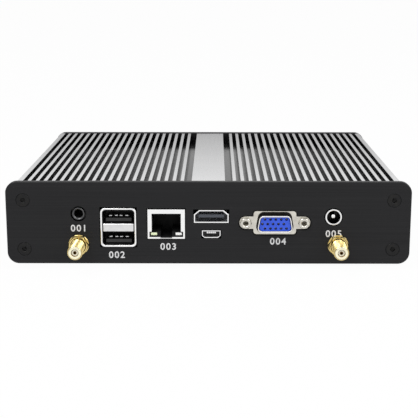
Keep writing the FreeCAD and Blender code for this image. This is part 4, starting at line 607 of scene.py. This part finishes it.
def edged_panel(name, node):
    """The panel's own form with its edges turned off in the plane of each flat face."""
    source = NODES[node]
    work = bmesh.new()
    work.from_mesh(source.data)
    work.transform(source.matrix_world)
    bmesh.ops.remove_doubles(work, verts=work.verts, dist=SAME_PLACE * MM)
    start, end = low(node).y * MM, high(node).y * MM
    reach = high(node).x * MM
    top, bottom = high(node).z * MM, low(node).z * MM
    corner = CORNER_REACH * MM
    for depth in (HOLE_EDGE, PANEL_EDGE):
        for level in (start + depth * MM, end - depth * MM):
            bmesh.ops.bisect_plane(work, geom=work.verts[:] + work.edges[:] + work.faces[:],
                                   dist=SAME_PLACE * MM / 10, plane_co=(0, level, 0), plane_no=(0, 1, 0))
    work.normal_update()
    shifts = []
    for vertex in work.verts:
        depth = max(0.0, min(vertex.co.y - start, end - vertex.co.y) / MM)
        walls = [face.normal for face in vertex.link_faces if abs(face.normal.y) < STEEP]
        if not walls or depth > PANEL_EDGE - SAME_PLACE:
            continue
        outward = sum(walls, Vector((0, 0, 0)))
        away = vertex.co.x * outward.x + (vertex.co.z - (top + bottom) / 2) * outward.z
        near_rim = (reach - abs(vertex.co.x) < corner or top - vertex.co.z < SAME_PLACE * MM
                    or vertex.co.z - bottom < SAME_PLACE * MM)
        radius = PANEL_EDGE if near_rim and away > 0 else HOLE_EDGE
        if depth < radius:
            drop = radius - math.sqrt(radius ** 2 - (radius - depth) ** 2)
            shifts.append((vertex, outward.normalized() * drop * MM))
    for vertex, shift in shifts:
        vertex.co -= shift
    work.normal_update()
    for face in work.faces:
        face.smooth = max(abs(part) for part in face.normal) < FLAT
    mesh = bpy.data.meshes.new(name)
    work.to_mesh(mesh)
    work.free()
    place_mesh(name, mesh, MATERIALS["panel"], [node])


# Antenna connectors

THREAD_PITCH = 0.706
THREAD_LEAD = 0.5
THREAD_STEEPNESS = 1.25
MOUTH_RADIUS = 1.5
MOUTH_DEPTH = 0.6
INSULATOR_LENGTH = 3.0
CONTACT_RADIUS = 0.7
CONTACT_BORE = 0.45
CONTACT_PROUD = 0.3
NECK_RADIUS = 3.0
NECK_GAP = 0.3
SHOULDER_RADIUS = 4.4
SHOULDER_LENGTH = 1.6
TAIL_RADIUS = 1.7
PANEL_THICKNESS = 3.0
WASHER_THICKNESS = 0.7
WASHER_RADIUS = 4.4
NUT_THICKNESS = 2.2
NUT_FLATS = 8.0
NUT_SLOPE = 0.7
NUT_REACH = 0.97
NUT_FACE = PANEL_FACE - WASHER_THICKNESS - NUT_THICKNESS
BORE_DEPTH = 2.4
STEPS_PER_PITCH = 8


def thread_reach(y, start, ceiling):
    """Radius round a screw thread at one place along it, never above the ceiling."""
    def reach(angle):
        phase = ((y - start) / THREAD_PITCH + angle / math.tau) % 1.0
        rise = min(1.0, THREAD_STEEPNESS * (1.0 - abs(2.0 * phase - 1.0)))
        return min(THREAD_ROOT + (THREAD_RADIUS - THREAD_ROOT) * rise, ceiling)
    return reach


def threaded_barrel(side):
    """Turned connector body with its thread cut as a real helix."""
    node = "antenna_connector_" + side
    x, z = axis(node)
    tip, end = span(node)
    thread_end = NUT_FACE - NECK_GAP
    back = PANEL_FACE + PANEL_THICKNESS
    seat = tip + MOUTH_DEPTH + INSULATOR_LENGTH
    profile = [(seat, NEAR_AXIS), (seat, MOUTH_RADIUS), (tip + LIP, MOUTH_RADIUS), (tip, MOUTH_RADIUS + LIP),
               (tip, THREAD_RADIUS - THREAD_LEAD - 0.06), (tip + 0.05, THREAD_RADIUS - THREAD_LEAD)]
    count = int((thread_end - tip) / THREAD_PITCH * STEPS_PER_PITCH)
    for step in range(1, count):
        y = tip + (thread_end - tip) * step / count
        ceiling = min(THREAD_RADIUS, THREAD_RADIUS - THREAD_LEAD + (y - tip))
        profile.append((y, thread_reach(y, tip, ceiling)))
    profile += [(thread_end, THREAD_ROOT), (thread_end, NECK_RADIUS), (back, NECK_RADIUS),
                (back, SHOULDER_RADIUS), (back + SHOULDER_LENGTH, SHOULDER_RADIUS),
                (back + SHOULDER_LENGTH, TAIL_RADIUS), (end - 0.3, TAIL_RADIUS), (end, TAIL_RADIUS - 0.3),
                (end, NEAR_AXIS)]
    form = Form()
    form.turn(x, z, profile)
    make_piece("antenna_barrel_" + side, form, TURNED_GOLD, [node])


def nut_profile(front, thickness, flats, slope, reach_in):
    """A hexagon whose corners are turned off towards its front face."""
    profile = []
    for part in (0.0, 0.04, 0.1, 0.18, 0.28, 0.42, 1.0):
        limit = flats / 2 * reach_in + thickness * part * slope
        profile.append((front + thickness * part, hexagon_reach(flats, limit)))
    return profile


def antenna_hardware():
    """Nuts, lock washers, insulators and centre contacts of both connectors."""
    nuts, washers, insulators, contacts = Form(), Form(), Form(), Form()
    nut_back = NUT_FACE + NUT_THICKNESS
    bore = THREAD_RADIUS + 0.05
    inner = [(nut_back, bore), (NUT_FACE + 0.3, bore), (NUT_FACE, bore + 0.25)]
    outer = nut_profile(NUT_FACE, NUT_THICKNESS, NUT_FLATS, NUT_SLOPE, NUT_REACH)
    for side in ("left", "right"):
        node = "antenna_connector_" + side
        x, z = axis(node)
        nuts.turn(x, z, inner + outer, FINE_STEPS, closed=True)
        washers.turn(x, z, [(nut_back, bore), (nut_back, WASHER_RADIUS - LIP),
                            (nut_back + LIP, WASHER_RADIUS), (PANEL_FACE - LIP, WASHER_RADIUS),
                            (PANEL_FACE, WASHER_RADIUS - LIP), (PANEL_FACE, bore)], closed=True)
        mouth = low(node).y + MOUTH_DEPTH
        seat = mouth + INSULATOR_LENGTH
        insulators.turn(x, z, [(seat, CONTACT_RADIUS), (mouth, CONTACT_RADIUS),
                               (mouth, MOUTH_RADIUS - 0.15), (mouth + 0.15, MOUTH_RADIUS),
                               (seat, MOUTH_RADIUS)], closed=True)
        start = mouth - CONTACT_PROUD
        contacts.turn(x, z, [(start + BORE_DEPTH, NEAR_AXIS), (start + BORE_DEPTH, CONTACT_BORE),
                             (start + 0.15, CONTACT_BORE), (start, CONTACT_BORE + 0.1),
                             (start + 0.06, CONTACT_RADIUS), (seat, CONTACT_RADIUS),
                             (seat, NEAR_AXIS)], 32)
    make_piece("antenna_hex_nuts", nuts, TURNED_GOLD, ["antenna_nuts"])
    make_piece("antenna_lock_washers", washers, TURNED_GOLD, ["antenna_washers"])
    make_piece("antenna_insulator_discs", insulators, INSULATOR, ["antenna_insulators"])
    make_piece("antenna_centre_contacts", contacts, TURNED_GOLD, ["antenna_contacts"])


# Screws

HEAD_RADIUS = 2.9
HEAD_HEIGHT = 1.7
SCREW_RADIUS = 1.5
SCREW_LENGTH = 8.0
SCREW_TIP = 0.4
SOCKET_FLATS = 2.0
SOCKET_DEPTH = 1.6


def sunk_screw(form, x, z, face, inward):
    """Countersunk screw with a chamfered hexagon socket; inward is 1 or -1 along Y."""
    socket = hexagon_reach(SOCKET_FLATS)
    profile = [(SOCKET_DEPTH + 0.35, NEAR_AXIS), (SOCKET_DEPTH, socket), (0.15, socket),
               (0.0, SOCKET_FLATS * 0.62), (0.0, HEAD_RADIUS - LIP), (LIP, HEAD_RADIUS),
               (HEAD_HEIGHT, SCREW_RADIUS), (SCREW_LENGTH - SCREW_TIP, SCREW_RADIUS),
               (SCREW_LENGTH, SCREW_RADIUS - SCREW_TIP)]
    form.turn(x, z, [(face + inward * depth, radius) for depth, radius in profile], 48)


def panel_screws(node, face, inward):
    form = Form()
    for x in (low(node).x + HEAD_RADIUS, high(node).x - HEAD_RADIUS):
        for z in (low(node).z + HEAD_RADIUS, high(node).z - HEAD_RADIUS):
            sunk_screw(form, x, z, face, inward)
    make_piece(node + "_turned", form, MATERIALS["screw"], [node])


# Analog video port

JACKSCREW_SPACING = 25.0
JACKSCREW_FLATS = 4.4
JACKSCREW_BORE = 1.3
JACKSCREW_DEPTH = 4.0
JACKSCREW_SEAT = 0.4
JACKSCREW_SLOPE = 1.2
JACKSCREW_REACH = 0.94
TAPPING = 0.12
TAPPING_STEPS = 28
HOLE_RADIUS = 0.6
HOLE_SPACING = 2.29
ROW_SPACING = 1.98
HOLE_SHIFT = -0.3
HOLE_DEPTH = 4.6
HOLE_CHAMFER = 0.05
SOCKET_BACK = 3.4
SOCKET_BORE = 0.3
SOCKET_PLAY = 0.04
INSERT_CORNER = 1.35


def jackscrew_pair():
    """Hexagon posts, turned off at the front, with a threaded hole and a shank."""
    node = "analog_port_jackscrews"
    form = Form()
    front, end = span(node)
    shoulder = PANEL_FACE + JACKSCREW_SEAT
    deep = PANEL_FACE + JACKSCREW_DEPTH
    profile = [(deep, NEAR_AXIS), (deep, JACKSCREW_BORE - TAPPING)]
    for step in range(TAPPING_STEPS):
        y = deep + (front + 0.3 - deep) * step / (TAPPING_STEPS - 1)
        profile.append((y, JACKSCREW_BORE - TAPPING * (step % 2)))
    profile.append((front, JACKSCREW_BORE + 0.3))
    profile += nut_profile(front, shoulder - front, JACKSCREW_FLATS, JACKSCREW_SLOPE, JACKSCREW_REACH)
    profile += [(shoulder, SCREW_RADIUS), (end, SCREW_RADIUS)]
    x, z = axis(node)
    for side in (-1, 1):
        form.turn(x + side * JACKSCREW_SPACING / 2, z, profile, FINE_STEPS)
    make_piece("monitor_posts", form, FLANGE_NICKEL, [node])


def filled(drawing):
    """The points and faces of a filled curve or of text."""
    carrier = bpy.data.objects.new("plate", drawing)
    plate = bpy.data.meshes.new_from_object(carrier)
    bpy.data.objects.remove(carrier)
    return [tuple(point.co) for point in plate.vertices], [tuple(part.vertices) for part in plate.polygons]


def pierced_plate(loops, middle_y, thickness, edge):
    """A flat form across Y from an outline and its holes, with its edges turned off."""
    drawing = bpy.data.curves.new("plate", "CURVE")
    drawing.dimensions = "2D"
    drawing.fill_mode = "BOTH"
    drawing.extrude = thickness / 2 - edge
    drawing.bevel_depth = edge
    drawing.offset = -edge
    for loop in loops:
        spline = drawing.splines.new("POLY")
        spline.points.add(len(loop) - 1)
        spline.use_cyclic_u = True
        for point, (across, up) in zip(spline.points, loop):
            point.co = (across, up, 0.0, 1.0)
    points, faces = filled(drawing)
    form = Form()
    form.add([(across, middle_y - depth, up) for across, up, depth in points], faces)
    return form


def hole_centres(x, z):
    """Three rows of five; the middle row is set half a step to the left of the others."""
    for row, shift in ((-1, 0.5), (0, -0.5), (1, 0.5)):
        for column in range(-2, 3):
            yield x + HOLE_SHIFT + (column + shift / 2) * HOLE_SPACING, z + row * ROW_SPACING


def contact_insert():
    """Blue insulator with fifteen round, chamfered holes, and a metal socket in each."""
    node = "analog_port_insert"
    start, end = low(node), high(node)
    x, z = axis(node)
    outline = d_outline(x, z, end.x - start.x, end.z - start.z, INSERT_CORNER)
    holes = [polar(*centre, HOLE_RADIUS, 20) for centre in hole_centres(x, z)]
    thickness = HOLE_DEPTH + 2 * HOLE_CHAMFER
    form = pierced_plate([outline] + holes, start.y + thickness / 2, thickness, HOLE_CHAMFER)
    floor = start.y + HOLE_DEPTH
    form.loft([(floor, outline), (end.y, outline)])
    make_piece("monitor_insert", form, MATERIALS["blue_plastic"], [node])
    sockets = Form()
    for across, up in hole_centres(x, z):
        sockets.turn(across, up, [(floor, SOCKET_BORE), (start.y + SOCKET_BACK, SOCKET_BORE),
                                  (start.y + SOCKET_BACK, HOLE_RADIUS - SOCKET_PLAY),
                                  (floor, HOLE_RADIUS - SOCKET_PLAY)], 16, closed=True)
    make_piece("monitor_sockets", sockets, MATERIALS["gold"])


FLANGE_DEPTH = 0.4
FLANGE_THICKNESS = 0.8
FLANGE_WEB = 0.3
BODY_WIDTH = 18.4
BODY_CORNER = 1.3
EAR_RADIUS = 2.75
EAR_HOLE = 1.6
EAR_STEPS = 16
RIM_WIDTH = 15.6
RIM_HEIGHT = 7.3
RIM_WALL = 0.55
RIM_CORNER = 1.9
RIM_GAP = 0.65
GAP_RISE = 0.4
RIM_LIP = 0.08
D_SLOPE = 10.0


def d_outline(x, z, width, height, radius):
    """A rounded D with its wide side down."""
    return box_outline(x, z, width, height, radius, height * math.tan(math.radians(D_SLOPE)))


def flange_outline(x, z, height):
    """The middle block with an ear at each side, as one outline."""
    half = BODY_WIDTH / 2
    ear = x + JACKSCREW_SPACING / 2
    arc = []
    for step in range(EAR_STEPS + 1):
        angle = -math.pi / 2 + math.pi * step / EAR_STEPS
        arc.append((ear + EAR_RADIUS * math.cos(angle), z + EAR_RADIUS * math.sin(angle)))
    block = box_outline(x, z, BODY_WIDTH, height, BODY_CORNER)
    right_top = [point for point in block if point[0] > x and point[1] > z]
    right_low = [point for point in block if point[0] > x and point[1] < z]
    right = right_low + [(x + half, z - EAR_RADIUS)] + arc + [(x + half, z + EAR_RADIUS)] + right_top
    return right + [(2 * x - across, 2 * z - up_here) for across, up_here in right]


def analog_flange():
    """Stamped flange with its rim: bright where it faces out, dark in the groove round the rim, where the
    rim's walls and the web carry painted shade.
    """
    node = "analog_port_flange"
    x, z = axis(node)
    height = high(node).z - low(node).z
    face = PANEL_FACE + FLANGE_DEPTH
    back = face + FLANGE_THICKNESS
    seat = back - FLANGE_WEB
    gap = d_outline(x, z + GAP_RISE / 2, RIM_WIDTH + 2 * RIM_GAP, RIM_HEIGHT + 2 * RIM_GAP + GAP_RISE,
                    RIM_CORNER + RIM_GAP)
    loops = [flange_outline(x, z, height), gap]
    loops += [polar(x + side * JACKSCREW_SPACING / 2, z, EAR_HOLE, 32) for side in (-1, 1)]
    form = pierced_plate(loops, (face + back) / 2, FLANGE_THICKNESS, RIM_LIP)
    make_piece("monitor_flange", form, FLANGE_NICKEL, [node])
    rim, web = Form(), Form()
    front = low(node).y
    layers = []
    for y, inset in ((seat, 0.0), (front + RIM_LIP, 0.0), (front, RIM_LIP), (front, RIM_WALL - RIM_LIP),
                     (front + RIM_LIP, RIM_WALL), (seat, RIM_WALL)):
        layers.append((y, d_outline(x, z, RIM_WIDTH - 2 * inset, RIM_HEIGHT - 2 * inset, RIM_CORNER - inset)))
    rim.loft(layers, closed=True)
    make_piece("monitor_rim", rim, RIM_METAL)
    inner = d_outline(x, z, RIM_WIDTH - 2 * RIM_WALL, RIM_HEIGHT - 2 * RIM_WALL, RIM_CORNER - RIM_WALL)
    web.loft([(seat, inner), (seat, gap), (back, gap), (back, inner)], closed=True)
    make_piece("monitor_web", web, RIM_METAL)


# Data ports

SPRING_WIDTH = 1.2
SPRING_THICKNESS = 0.25
STRIP_WIDTH = 1.0
STRIP_OUTER = 3.5
STRIP_INNER = 1.0
SLOT_PITCH = 9.35


def spring_contacts(node, centres, rows, mouth, inward, name):
    """Spring contacts: flat on their tongue at the back, with a raised, curled free end."""
    form = Form()
    length = high(node).y - low(node).y
    path = [(0.3, 0.75), (0.33, 1.0), (0.5, 1.2), (0.85, 1.3), (1.3, 1.2), (2.4, 0.75), (3.8, 0.2),
            (4.6, 0.0), (length, 0.0)]
    for centre in centres:
        for offset in (-STRIP_OUTER, -STRIP_INNER, STRIP_INNER, STRIP_OUTER):
            for z in rows:
                places = [(mouth + inward * y, z + up) for y, up in path]
                form.strip(centre + offset, SPRING_WIDTH, places[::inward], -inward * SPRING_THICKNESS)
    make_piece(name, form, CONTACT_NICKEL, [node])


def all_spring_contacts():
    front = "data_port_contacts"
    spring_contacts(front, [middle("data_port_shell").x], [low(front).z, low(front).z + SLOT_PITCH],
                    low(front).y, 1, "data_springs")
    rear = "rear_data_contacts"
    reach = STRIP_OUTER + STRIP_WIDTH / 2
    spring_contacts(rear, [low(rear).x + reach, high(rear).x - reach], [low(rear).z], high(rear).y, -1,
                    "rear_data_springs")


SHELL_WALL = 0.6
SHELL_RIM = 0.74
SHELL_PLAY = 0.03
SHELL_LIP = 0.12
SHELL_CORNER = 1.8
DIVIDER_WIDTH = 13.0
DIVIDER_HEIGHT = 3.35


def data_shell():
    """Drawn steel rim round both slots, and the sheet between them."""
    node = "data_port_shell"
    x, z = axis(node)
    width, height = high(node).x - low(node).x, high(node).z - low(node).z
    front, back = span(node)
    seat = front + SHELL_WALL
    layers = []
    for y, inset in ((back, SHELL_WALL), (seat, SHELL_WALL), (seat, SHELL_RIM),
                     (front + SHELL_LIP, SHELL_RIM), (front, SHELL_RIM - SHELL_LIP), (front, 0.15),
                     (front + 0.05, 0.07), (front + 0.15, SHELL_PLAY), (back, SHELL_PLAY)):
        outline = box_outline(x, z, width - 2 * inset, height - 2 * inset, SHELL_CORNER - inset / 2)
        layers.append((y, outline))
    form = Form()
    form.loft(layers, closed=True)
    make_piece("data_shell_drawn", form, MATERIALS["port_steel"], [node])
    sheet = Form()
    sheet.loft([(front + depth, box_outline(x, z, DIVIDER_WIDTH - 2 * inset, DIVIDER_HEIGHT - 2 * inset, 0.3))
                for depth, inset in ((0.0, 0.35), (0.06, 0.14), (0.2, 0.0), (SHELL_WALL, 0.0))])
    make_piece("data_shell_divider", sheet, SATIN_STEEL)


# Network jack

CAVITY_WIDTH = 12.5
CAVITY_HEIGHT = 7.9
CAVITY_DROP = 1.9
LAMP_WIDTH = 2.8
LEAF_STEPS = 8
LEAF_STEP = 0.5
LEAF_BULGE = 0.6
LEAF_THICKNESS = 0.2
LEAF_ENDS = (0.68, 0.32)


def network_lamps():
    """Two light guides with softly domed faces, a green one and a white one."""
    node = "network_jack_lamps"
    z = middle(node).z
    height = high(node).z - low(node).z
    front, back = span(node)
    for side, x, finish in (("left", low(node).x + LAMP_WIDTH / 2, MATERIALS["lamp_green"]),
                            ("right", high(node).x - LAMP_WIDTH / 2, WHITE_LENS)):
        form = Form()
        layers = [(front + depth, box_outline(x, z, LAMP_WIDTH - 2 * inset, height - 2 * inset, 0.15))
                  for depth, inset in ((0.0, 0.3), (0.06, 0.14), (0.18, 0.03), (0.3, 0.0))]
        layers.append((back, box_outline(x, z, LAMP_WIDTH, height, 0.15)))
        form.loft(layers)
        make_piece("network_lamp_" + side, form, finish, [node])


def network_springs():
    """Leaf springs that bulge into the cavity, one from each side."""
    node = "network_jack_shell"
    x, top = middle(node).x, high(node).z - CAVITY_DROP
    front = low(node).y + 0.3
    low_z, high_z = (top - CAVITY_HEIGHT * part for part in LEAF_ENDS)
    form = Form()
    for side in (-1, 1):
        wall = x + side * CAVITY_WIDTH / 2
        loops = []
        for step in range(LEAF_STEPS + 1):
            y = front + LEAF_STEP * step
            bulge = LEAF_BULGE * math.sin(math.pi * step / LEAF_STEPS) ** 2
            inner, outer = wall - side * (bulge + 0.02), wall - side * max(bulge - LEAF_THICKNESS, 0.0)
            loops.append([(inner, y, low_z), (inner, y, high_z), (outer, y, high_z), (outer, y, low_z)])
        form.join(loops)
    make_piece("network_springs", form, MATERIALS["port_steel"])


# Digital video port and service port

FINE_THICKNESS = 0.1
VIDEO_CONTACTS = 10
VIDEO_CONTACT_WIDTH = 0.55
SERVICE_CONTACT_WIDTH = 0.66
VIDEO_PITCH = 1.0
VIDEO_TONGUE_START = 1.4
VIDEO_TONGUE_DROP = 0.7
VIDEO_TONGUE_HEIGHT = 1.3
SERVICE_CONTACTS = 5
SERVICE_PITCH = 0.82
SERVICE_TONGUE_START = 1.0
SERVICE_TONGUE_DROP = 1.5
SERVICE_TONGUE_HEIGHT = 0.7


def small_port_contacts():
    """Rows of fine contacts on the tongues of the two small ports."""
    video, service = "video_port_shell", "service_port_shell"
    x = middle(video).x
    face = PANEL_FACE + VIDEO_TONGUE_START
    top = middle(video).z - VIDEO_TONGUE_DROP + VIDEO_TONGUE_HEIGHT
    video_path = [(face + 0.15, top - 0.03), (face + 0.4, top + 0.07), (face + 6.0, top + 0.07)]
    face = PANEL_FACE + SERVICE_TONGUE_START
    top = high(service).z - SERVICE_TONGUE_DROP + SERVICE_TONGUE_HEIGHT
    service_path = [(face - 0.06, top - 0.62), (face + 0.02, top + 0.02), (face + 0.4, top + 0.08),
                    (face + 3.0, top + 0.08)]
    form = Form()
    for count, pitch, width, path in (
            (VIDEO_CONTACTS, VIDEO_PITCH, VIDEO_CONTACT_WIDTH, video_path),
            (SERVICE_CONTACTS, SERVICE_PITCH, SERVICE_CONTACT_WIDTH, service_path)):
        for index in range(count):
            form.strip(x + (index - (count - 1) / 2) * pitch, width, path, FINE_THICKNESS)
    make_piece("small_port_contacts", form, MATERIALS["port_steel"])


# Power jack and audio jack

POWER_SLEEVE = 3.55
POWER_BORE = 2.85
POWER_PIN = 1.05
POWER_ROOT = 0.85
POWER_GRIP = 3.0
RING_RADIUS = 2.7
RING_BORE = 1.8


def rounded_tube(front, back, outer, inner, lip):
    """Profile of a tube that opens towards low Y, with a rounded lip."""
    return [(back, inner), (front + lip, inner), (front + lip * 0.3, inner + lip * 0.3), (front, inner + lip),
            (front, outer - lip), (front + lip * 0.3, outer - lip * 0.3), (front + lip, outer), (back, outer)]


def round_jacks():
    """Sleeve and domed pin of the power jack, and the turned ring of the audio jack."""
    node = "power_jack_sleeve"
    x, z = axis(node)
    form = Form()
    form.turn(x, z, rounded_tube(low(node).y, high(node).y, POWER_SLEEVE, POWER_BORE, 0.2), closed=True)
    # The sleeve takes the rim's nickel, with its painted highlight and painted shade.
    make_piece("power_sleeve_turned", form, RIM_METAL, [node])
    node = "power_jack_pin"
    tip, end = span(node)
    thin = end - POWER_GRIP - NECK_GAP
    profile = [(tip, NEAR_AXIS), (tip, 0.3)]
    profile += [(tip + depth, POWER_PIN - inset)
                for depth, inset in ((0.05, 0.5), (0.14, 0.26), (0.28, 0.1), (0.45, 0.0))]
    profile += [(thin, POWER_PIN), (thin, POWER_ROOT), (end, POWER_ROOT), (end, NEAR_AXIS)]
    form = Form()
    form.turn(x, z, profile, 48)
    make_piece("power_pin_turned", form, MATERIALS["port_steel"], [node])
    node = "audio_jack_ring"
    form = Form()
    front, back = span(node)
    form.turn(*axis(node),
              [(back, RING_BORE), (front + 0.5, RING_BORE), (front + 0.15, RING_BORE + 0.3),
               (front, RING_BORE + 0.5), (front, RING_RADIUS - 0.15), (front + 0.15, RING_RADIUS),
               (back, RING_RADIUS)], closed=True)
    make_piece("audio_ring_turned", form, DARK_NICKEL, [node])


# Rubber feet

FOOT_RADIUS = 6.5
FOOT_SOLE = 5.7


def rubber_feet():
    """Four feet with a rounded sole, a shallow dish and two grip rings."""
    node = "rubber_feet"
    form = Form()
    floor, top = low(node).z, high(node).z
    profile = [(top, NEAR_AXIS), (top, FOOT_RADIUS - 0.2), (top - 0.2, FOOT_RADIUS),
               (floor + 0.5, FOOT_SOLE + 0.12), (floor + 0.15, FOOT_SOLE - 0.1),
               (floor, FOOT_SOLE - 0.5), (floor, FOOT_SOLE - 1.1),
               (floor + 0.3, FOOT_SOLE - 1.3), (floor + 0.3, FOOT_SOLE - 1.6), (floor, FOOT_SOLE - 1.8),
               (floor, FOOT_SOLE - 2.4), (floor + 0.3, FOOT_SOLE - 2.6), (floor + 0.5, NEAR_AXIS)]
    for x in (low(node).x + FOOT_RADIUS, high(node).x - FOOT_RADIUS):
        for y in (low(node).y + FOOT_RADIUS, high(node).y - FOOT_RADIUS):
            form.turn_up(x, y, profile)
    make_piece("moulded_feet", form, MATERIALS["rubber"], [node])


# Power button and status lamps

BUTTON_RADIUS = 4.2
BUTTON_COLLAR = 1.0
COLLAR_THICKNESS = 1.2
STATUS_RADIUS = 1.5
STATUS_COLLAR = 0.5
COLLAR_DEPTH = 1.0


def power_button():
    """Turned button with a dished face and a fine ring cut into it."""
    node = "power_button"
    x, z = axis(node)
    inner, face = span(node)
    collar = BUTTON_RADIUS + BUTTON_COLLAR
    profile = [(inner, NEAR_AXIS), (inner, collar - 0.15), (inner + 0.15, collar),
               (inner + COLLAR_THICKNESS, collar), (inner + COLLAR_THICKNESS, BUTTON_RADIUS),
               (face - 0.4, BUTTON_RADIUS), (face - 0.12, BUTTON_RADIUS - 0.14), (face, BUTTON_RADIUS - 0.45),
               (face, 3.2), (face - 0.14, 3.1), (face - 0.14, 2.9), (face - 0.02, 2.8),
               (face - 0.2, 1.6), (face - 0.28, 0.8), (face - 0.3, NEAR_AXIS)]
    form = Form()
    form.turn(x, z, profile, 72)
    make_piece("dished_button", form, MATERIALS["switch_steel"], [node], "button")


def status_lamps():
    """Two domed lamps, each held from behind by a collar."""
    node = "status_lamps"
    z = middle(node).z
    front, back = high(node).y, low(node).y
    seat = REAR_FACE - PANEL_THICKNESS
    reach = STATUS_RADIUS + STATUS_COLLAR
    for side, x, finish in (("first", high(node).x - reach, MATERIALS["lamp_green"]),
                            ("second", low(node).x + reach, WHITE_LENS)):
        form = Form()
        form.turn(x, z, [(back, NEAR_AXIS), (back, STATUS_RADIUS), (seat - COLLAR_DEPTH, STATUS_RADIUS),
                         (seat - COLLAR_DEPTH, reach), (seat, reach), (seat, STATUS_RADIUS),
                         (REAR_FACE, STATUS_RADIUS), (front - 0.3, STATUS_RADIUS - 0.08),
                         (front - 0.1, STATUS_RADIUS - 0.5), (front, STATUS_RADIUS - 1.1),
                         (front, NEAR_AXIS)], 40)
        make_piece("status_lens_" + side, form, finish, [node])


# Plain numbers beside the ports, where the photo has its labels

NUMBER_HEIGHT = 3.0
PRINT_THICKNESS = 0.015
DIGIT_BOLDNESS = 0.02
DIGIT_SPACING = 1.22
FRONT_NUMBERS = (
    ("001", -56.0, 15.8),
    ("002", -39.5, 4.0),
    ("003", -17.3, 7.7),
    ("004", 30.0, 10.1),
    ("005", 53.8, 13.5),
)
REAR_NUMBERS = (
    ("006", -19.0, 8.0),
    ("007", 34.6, 8.0),
)


def printed_numbers(name, numbers, face, outward):
    """Thin printed digits; the rear ones are turned to read from behind."""
    form = Form()
    for text, across, up in numbers:
        drawing = bpy.data.curves.new("digits", "FONT")
        drawing.body = text
        drawing.offset = DIGIT_BOLDNESS
        drawing.space_character = DIGIT_SPACING
        points, faces = filled(drawing)
        xs = [point[0] for point in points]
        ys = [point[1] for point in points]
        scale = NUMBER_HEIGHT / (max(ys) - min(ys))
        for depth in (0.0, PRINT_THICKNESS):
            form.add([(across - outward * (point[0] - (min(xs) + max(xs)) / 2) * scale,
                       face + outward * depth,
                       PANEL_LOW + up + (point[1] - (min(ys) + max(ys)) / 2) * scale)
                      for point in points], faces)
    make_piece(name, form, INK)


def make_pieces():
    edged_panel("port_panel_edged", "port_panel")
    edged_panel("power_panel_edged", "power_panel")
    for side in ("left", "right"):
        threaded_barrel(side)
    antenna_hardware()
    panel_screws("port_panel_screws", PANEL_FACE, 1)
    panel_screws("power_panel_screws", REAR_FACE, -1)
    jackscrew_pair()
    contact_insert()
    analog_flange()
    all_spring_contacts()
    data_shell()
    network_lamps()
    network_springs()
    small_port_contacts()
    round_jacks()
    rubber_feet()
    power_button()
    status_lamps()
    printed_numbers("port_numbers", FRONT_NUMBERS, PANEL_FACE, -1)
    printed_numbers("rear_numbers", REAR_NUMBERS, REAR_FACE, 1)


# Studio

FLOOR_SIZE = 24.0
FLOOR_WHITENESS = 0.97
FLOOR_COLOUR = (0.86, 0.86, 0.86, 1.0)
WORLD_LEVEL = 0.55
LAMP_SIZE = 0.8
LAMPS = {
    "key": ((-0.5, -0.7, 1.0), 9.0),
    "fill": ((0.7, -0.5, 0.7), 5.0),
}


def make_floor():
    """A pale floor, white where the camera and reflections see it."""
    mesh = bpy.data.meshes.new("floor")
    half = FLOOR_SIZE / 2
    mesh.from_pydata([(-half, -half, 0), (half, -half, 0), (half, half, 0), (-half, half, 0)], [],
                     [(0, 1, 2, 3)])
    item = show("floor", mesh)
    material = bpy.data.materials.new("floor")
    nodes = Nodes(material)
    plain = nodes.add("ShaderNodeBsdfDiffuse")
    plain.inputs["Color"].default_value = FLOOR_COLOUR
    nodes.show_white(plain, "ShaderNodeEmission", FLOOR_WHITENESS, "ShaderNodeOutputMaterial")
    mesh.materials.append(material)


def make_world():
    """White where the camera and reflections look, a soft grey as light."""
    world = bpy.data.worlds.new("studio")
    bpy.context.scene.world = world
    nodes = Nodes(world)
    soft = nodes.add("ShaderNodeBackground")
    soft.inputs["Strength"].default_value = WORLD_LEVEL
    nodes.show_white(soft, "ShaderNodeBackground", 1.0, "ShaderNodeOutputWorld")


def make_lamps():
    """Soft square lamps, turned to the origin."""
    for name, (place, power) in LAMPS.items():
        data = bpy.data.lights.new(name, "AREA")
        data.shape = "RECTANGLE"
        data.size = data.size_y = LAMP_SIZE
        data.energy = power
        item = show(name, data)
        item.location = place
        item.rotation_euler = (-Vector(place)).to_track_quat("-Z", "Y").to_euler()


CAMERA_ACROSS = 0.00301
CAMERA_BEFORE_PANEL = 0.44025
CAMERA_HEIGHT = 0.128
CAMERA_TILT = 12.883
CAMERA_TURN = 0.353
CAMERA_LENS = 90.94
CAMERA_SENSOR = 36.0


def make_camera():
    data = bpy.data.cameras.new("camera")
    data.lens = CAMERA_LENS
    data.sensor_width = CAMERA_SENSOR
    data.clip_start = 0.01
    data.clip_end = 60.0
    item = show("camera", data)
    item.location = (CAMERA_ACROSS, PANEL_FACE * MM - CAMERA_BEFORE_PANEL, CAMERA_HEIGHT)
    item.rotation_euler = (math.radians(90 - CAMERA_TILT), 0, math.radians(CAMERA_TURN))
    bpy.context.scene.camera = item


dress_frame()
make_pieces()
make_floor()
make_world()
make_lamps()
make_camera()

bpy.context.scene.view_settings.view_transform = "Standard"
bpy.context.view_layer.update()
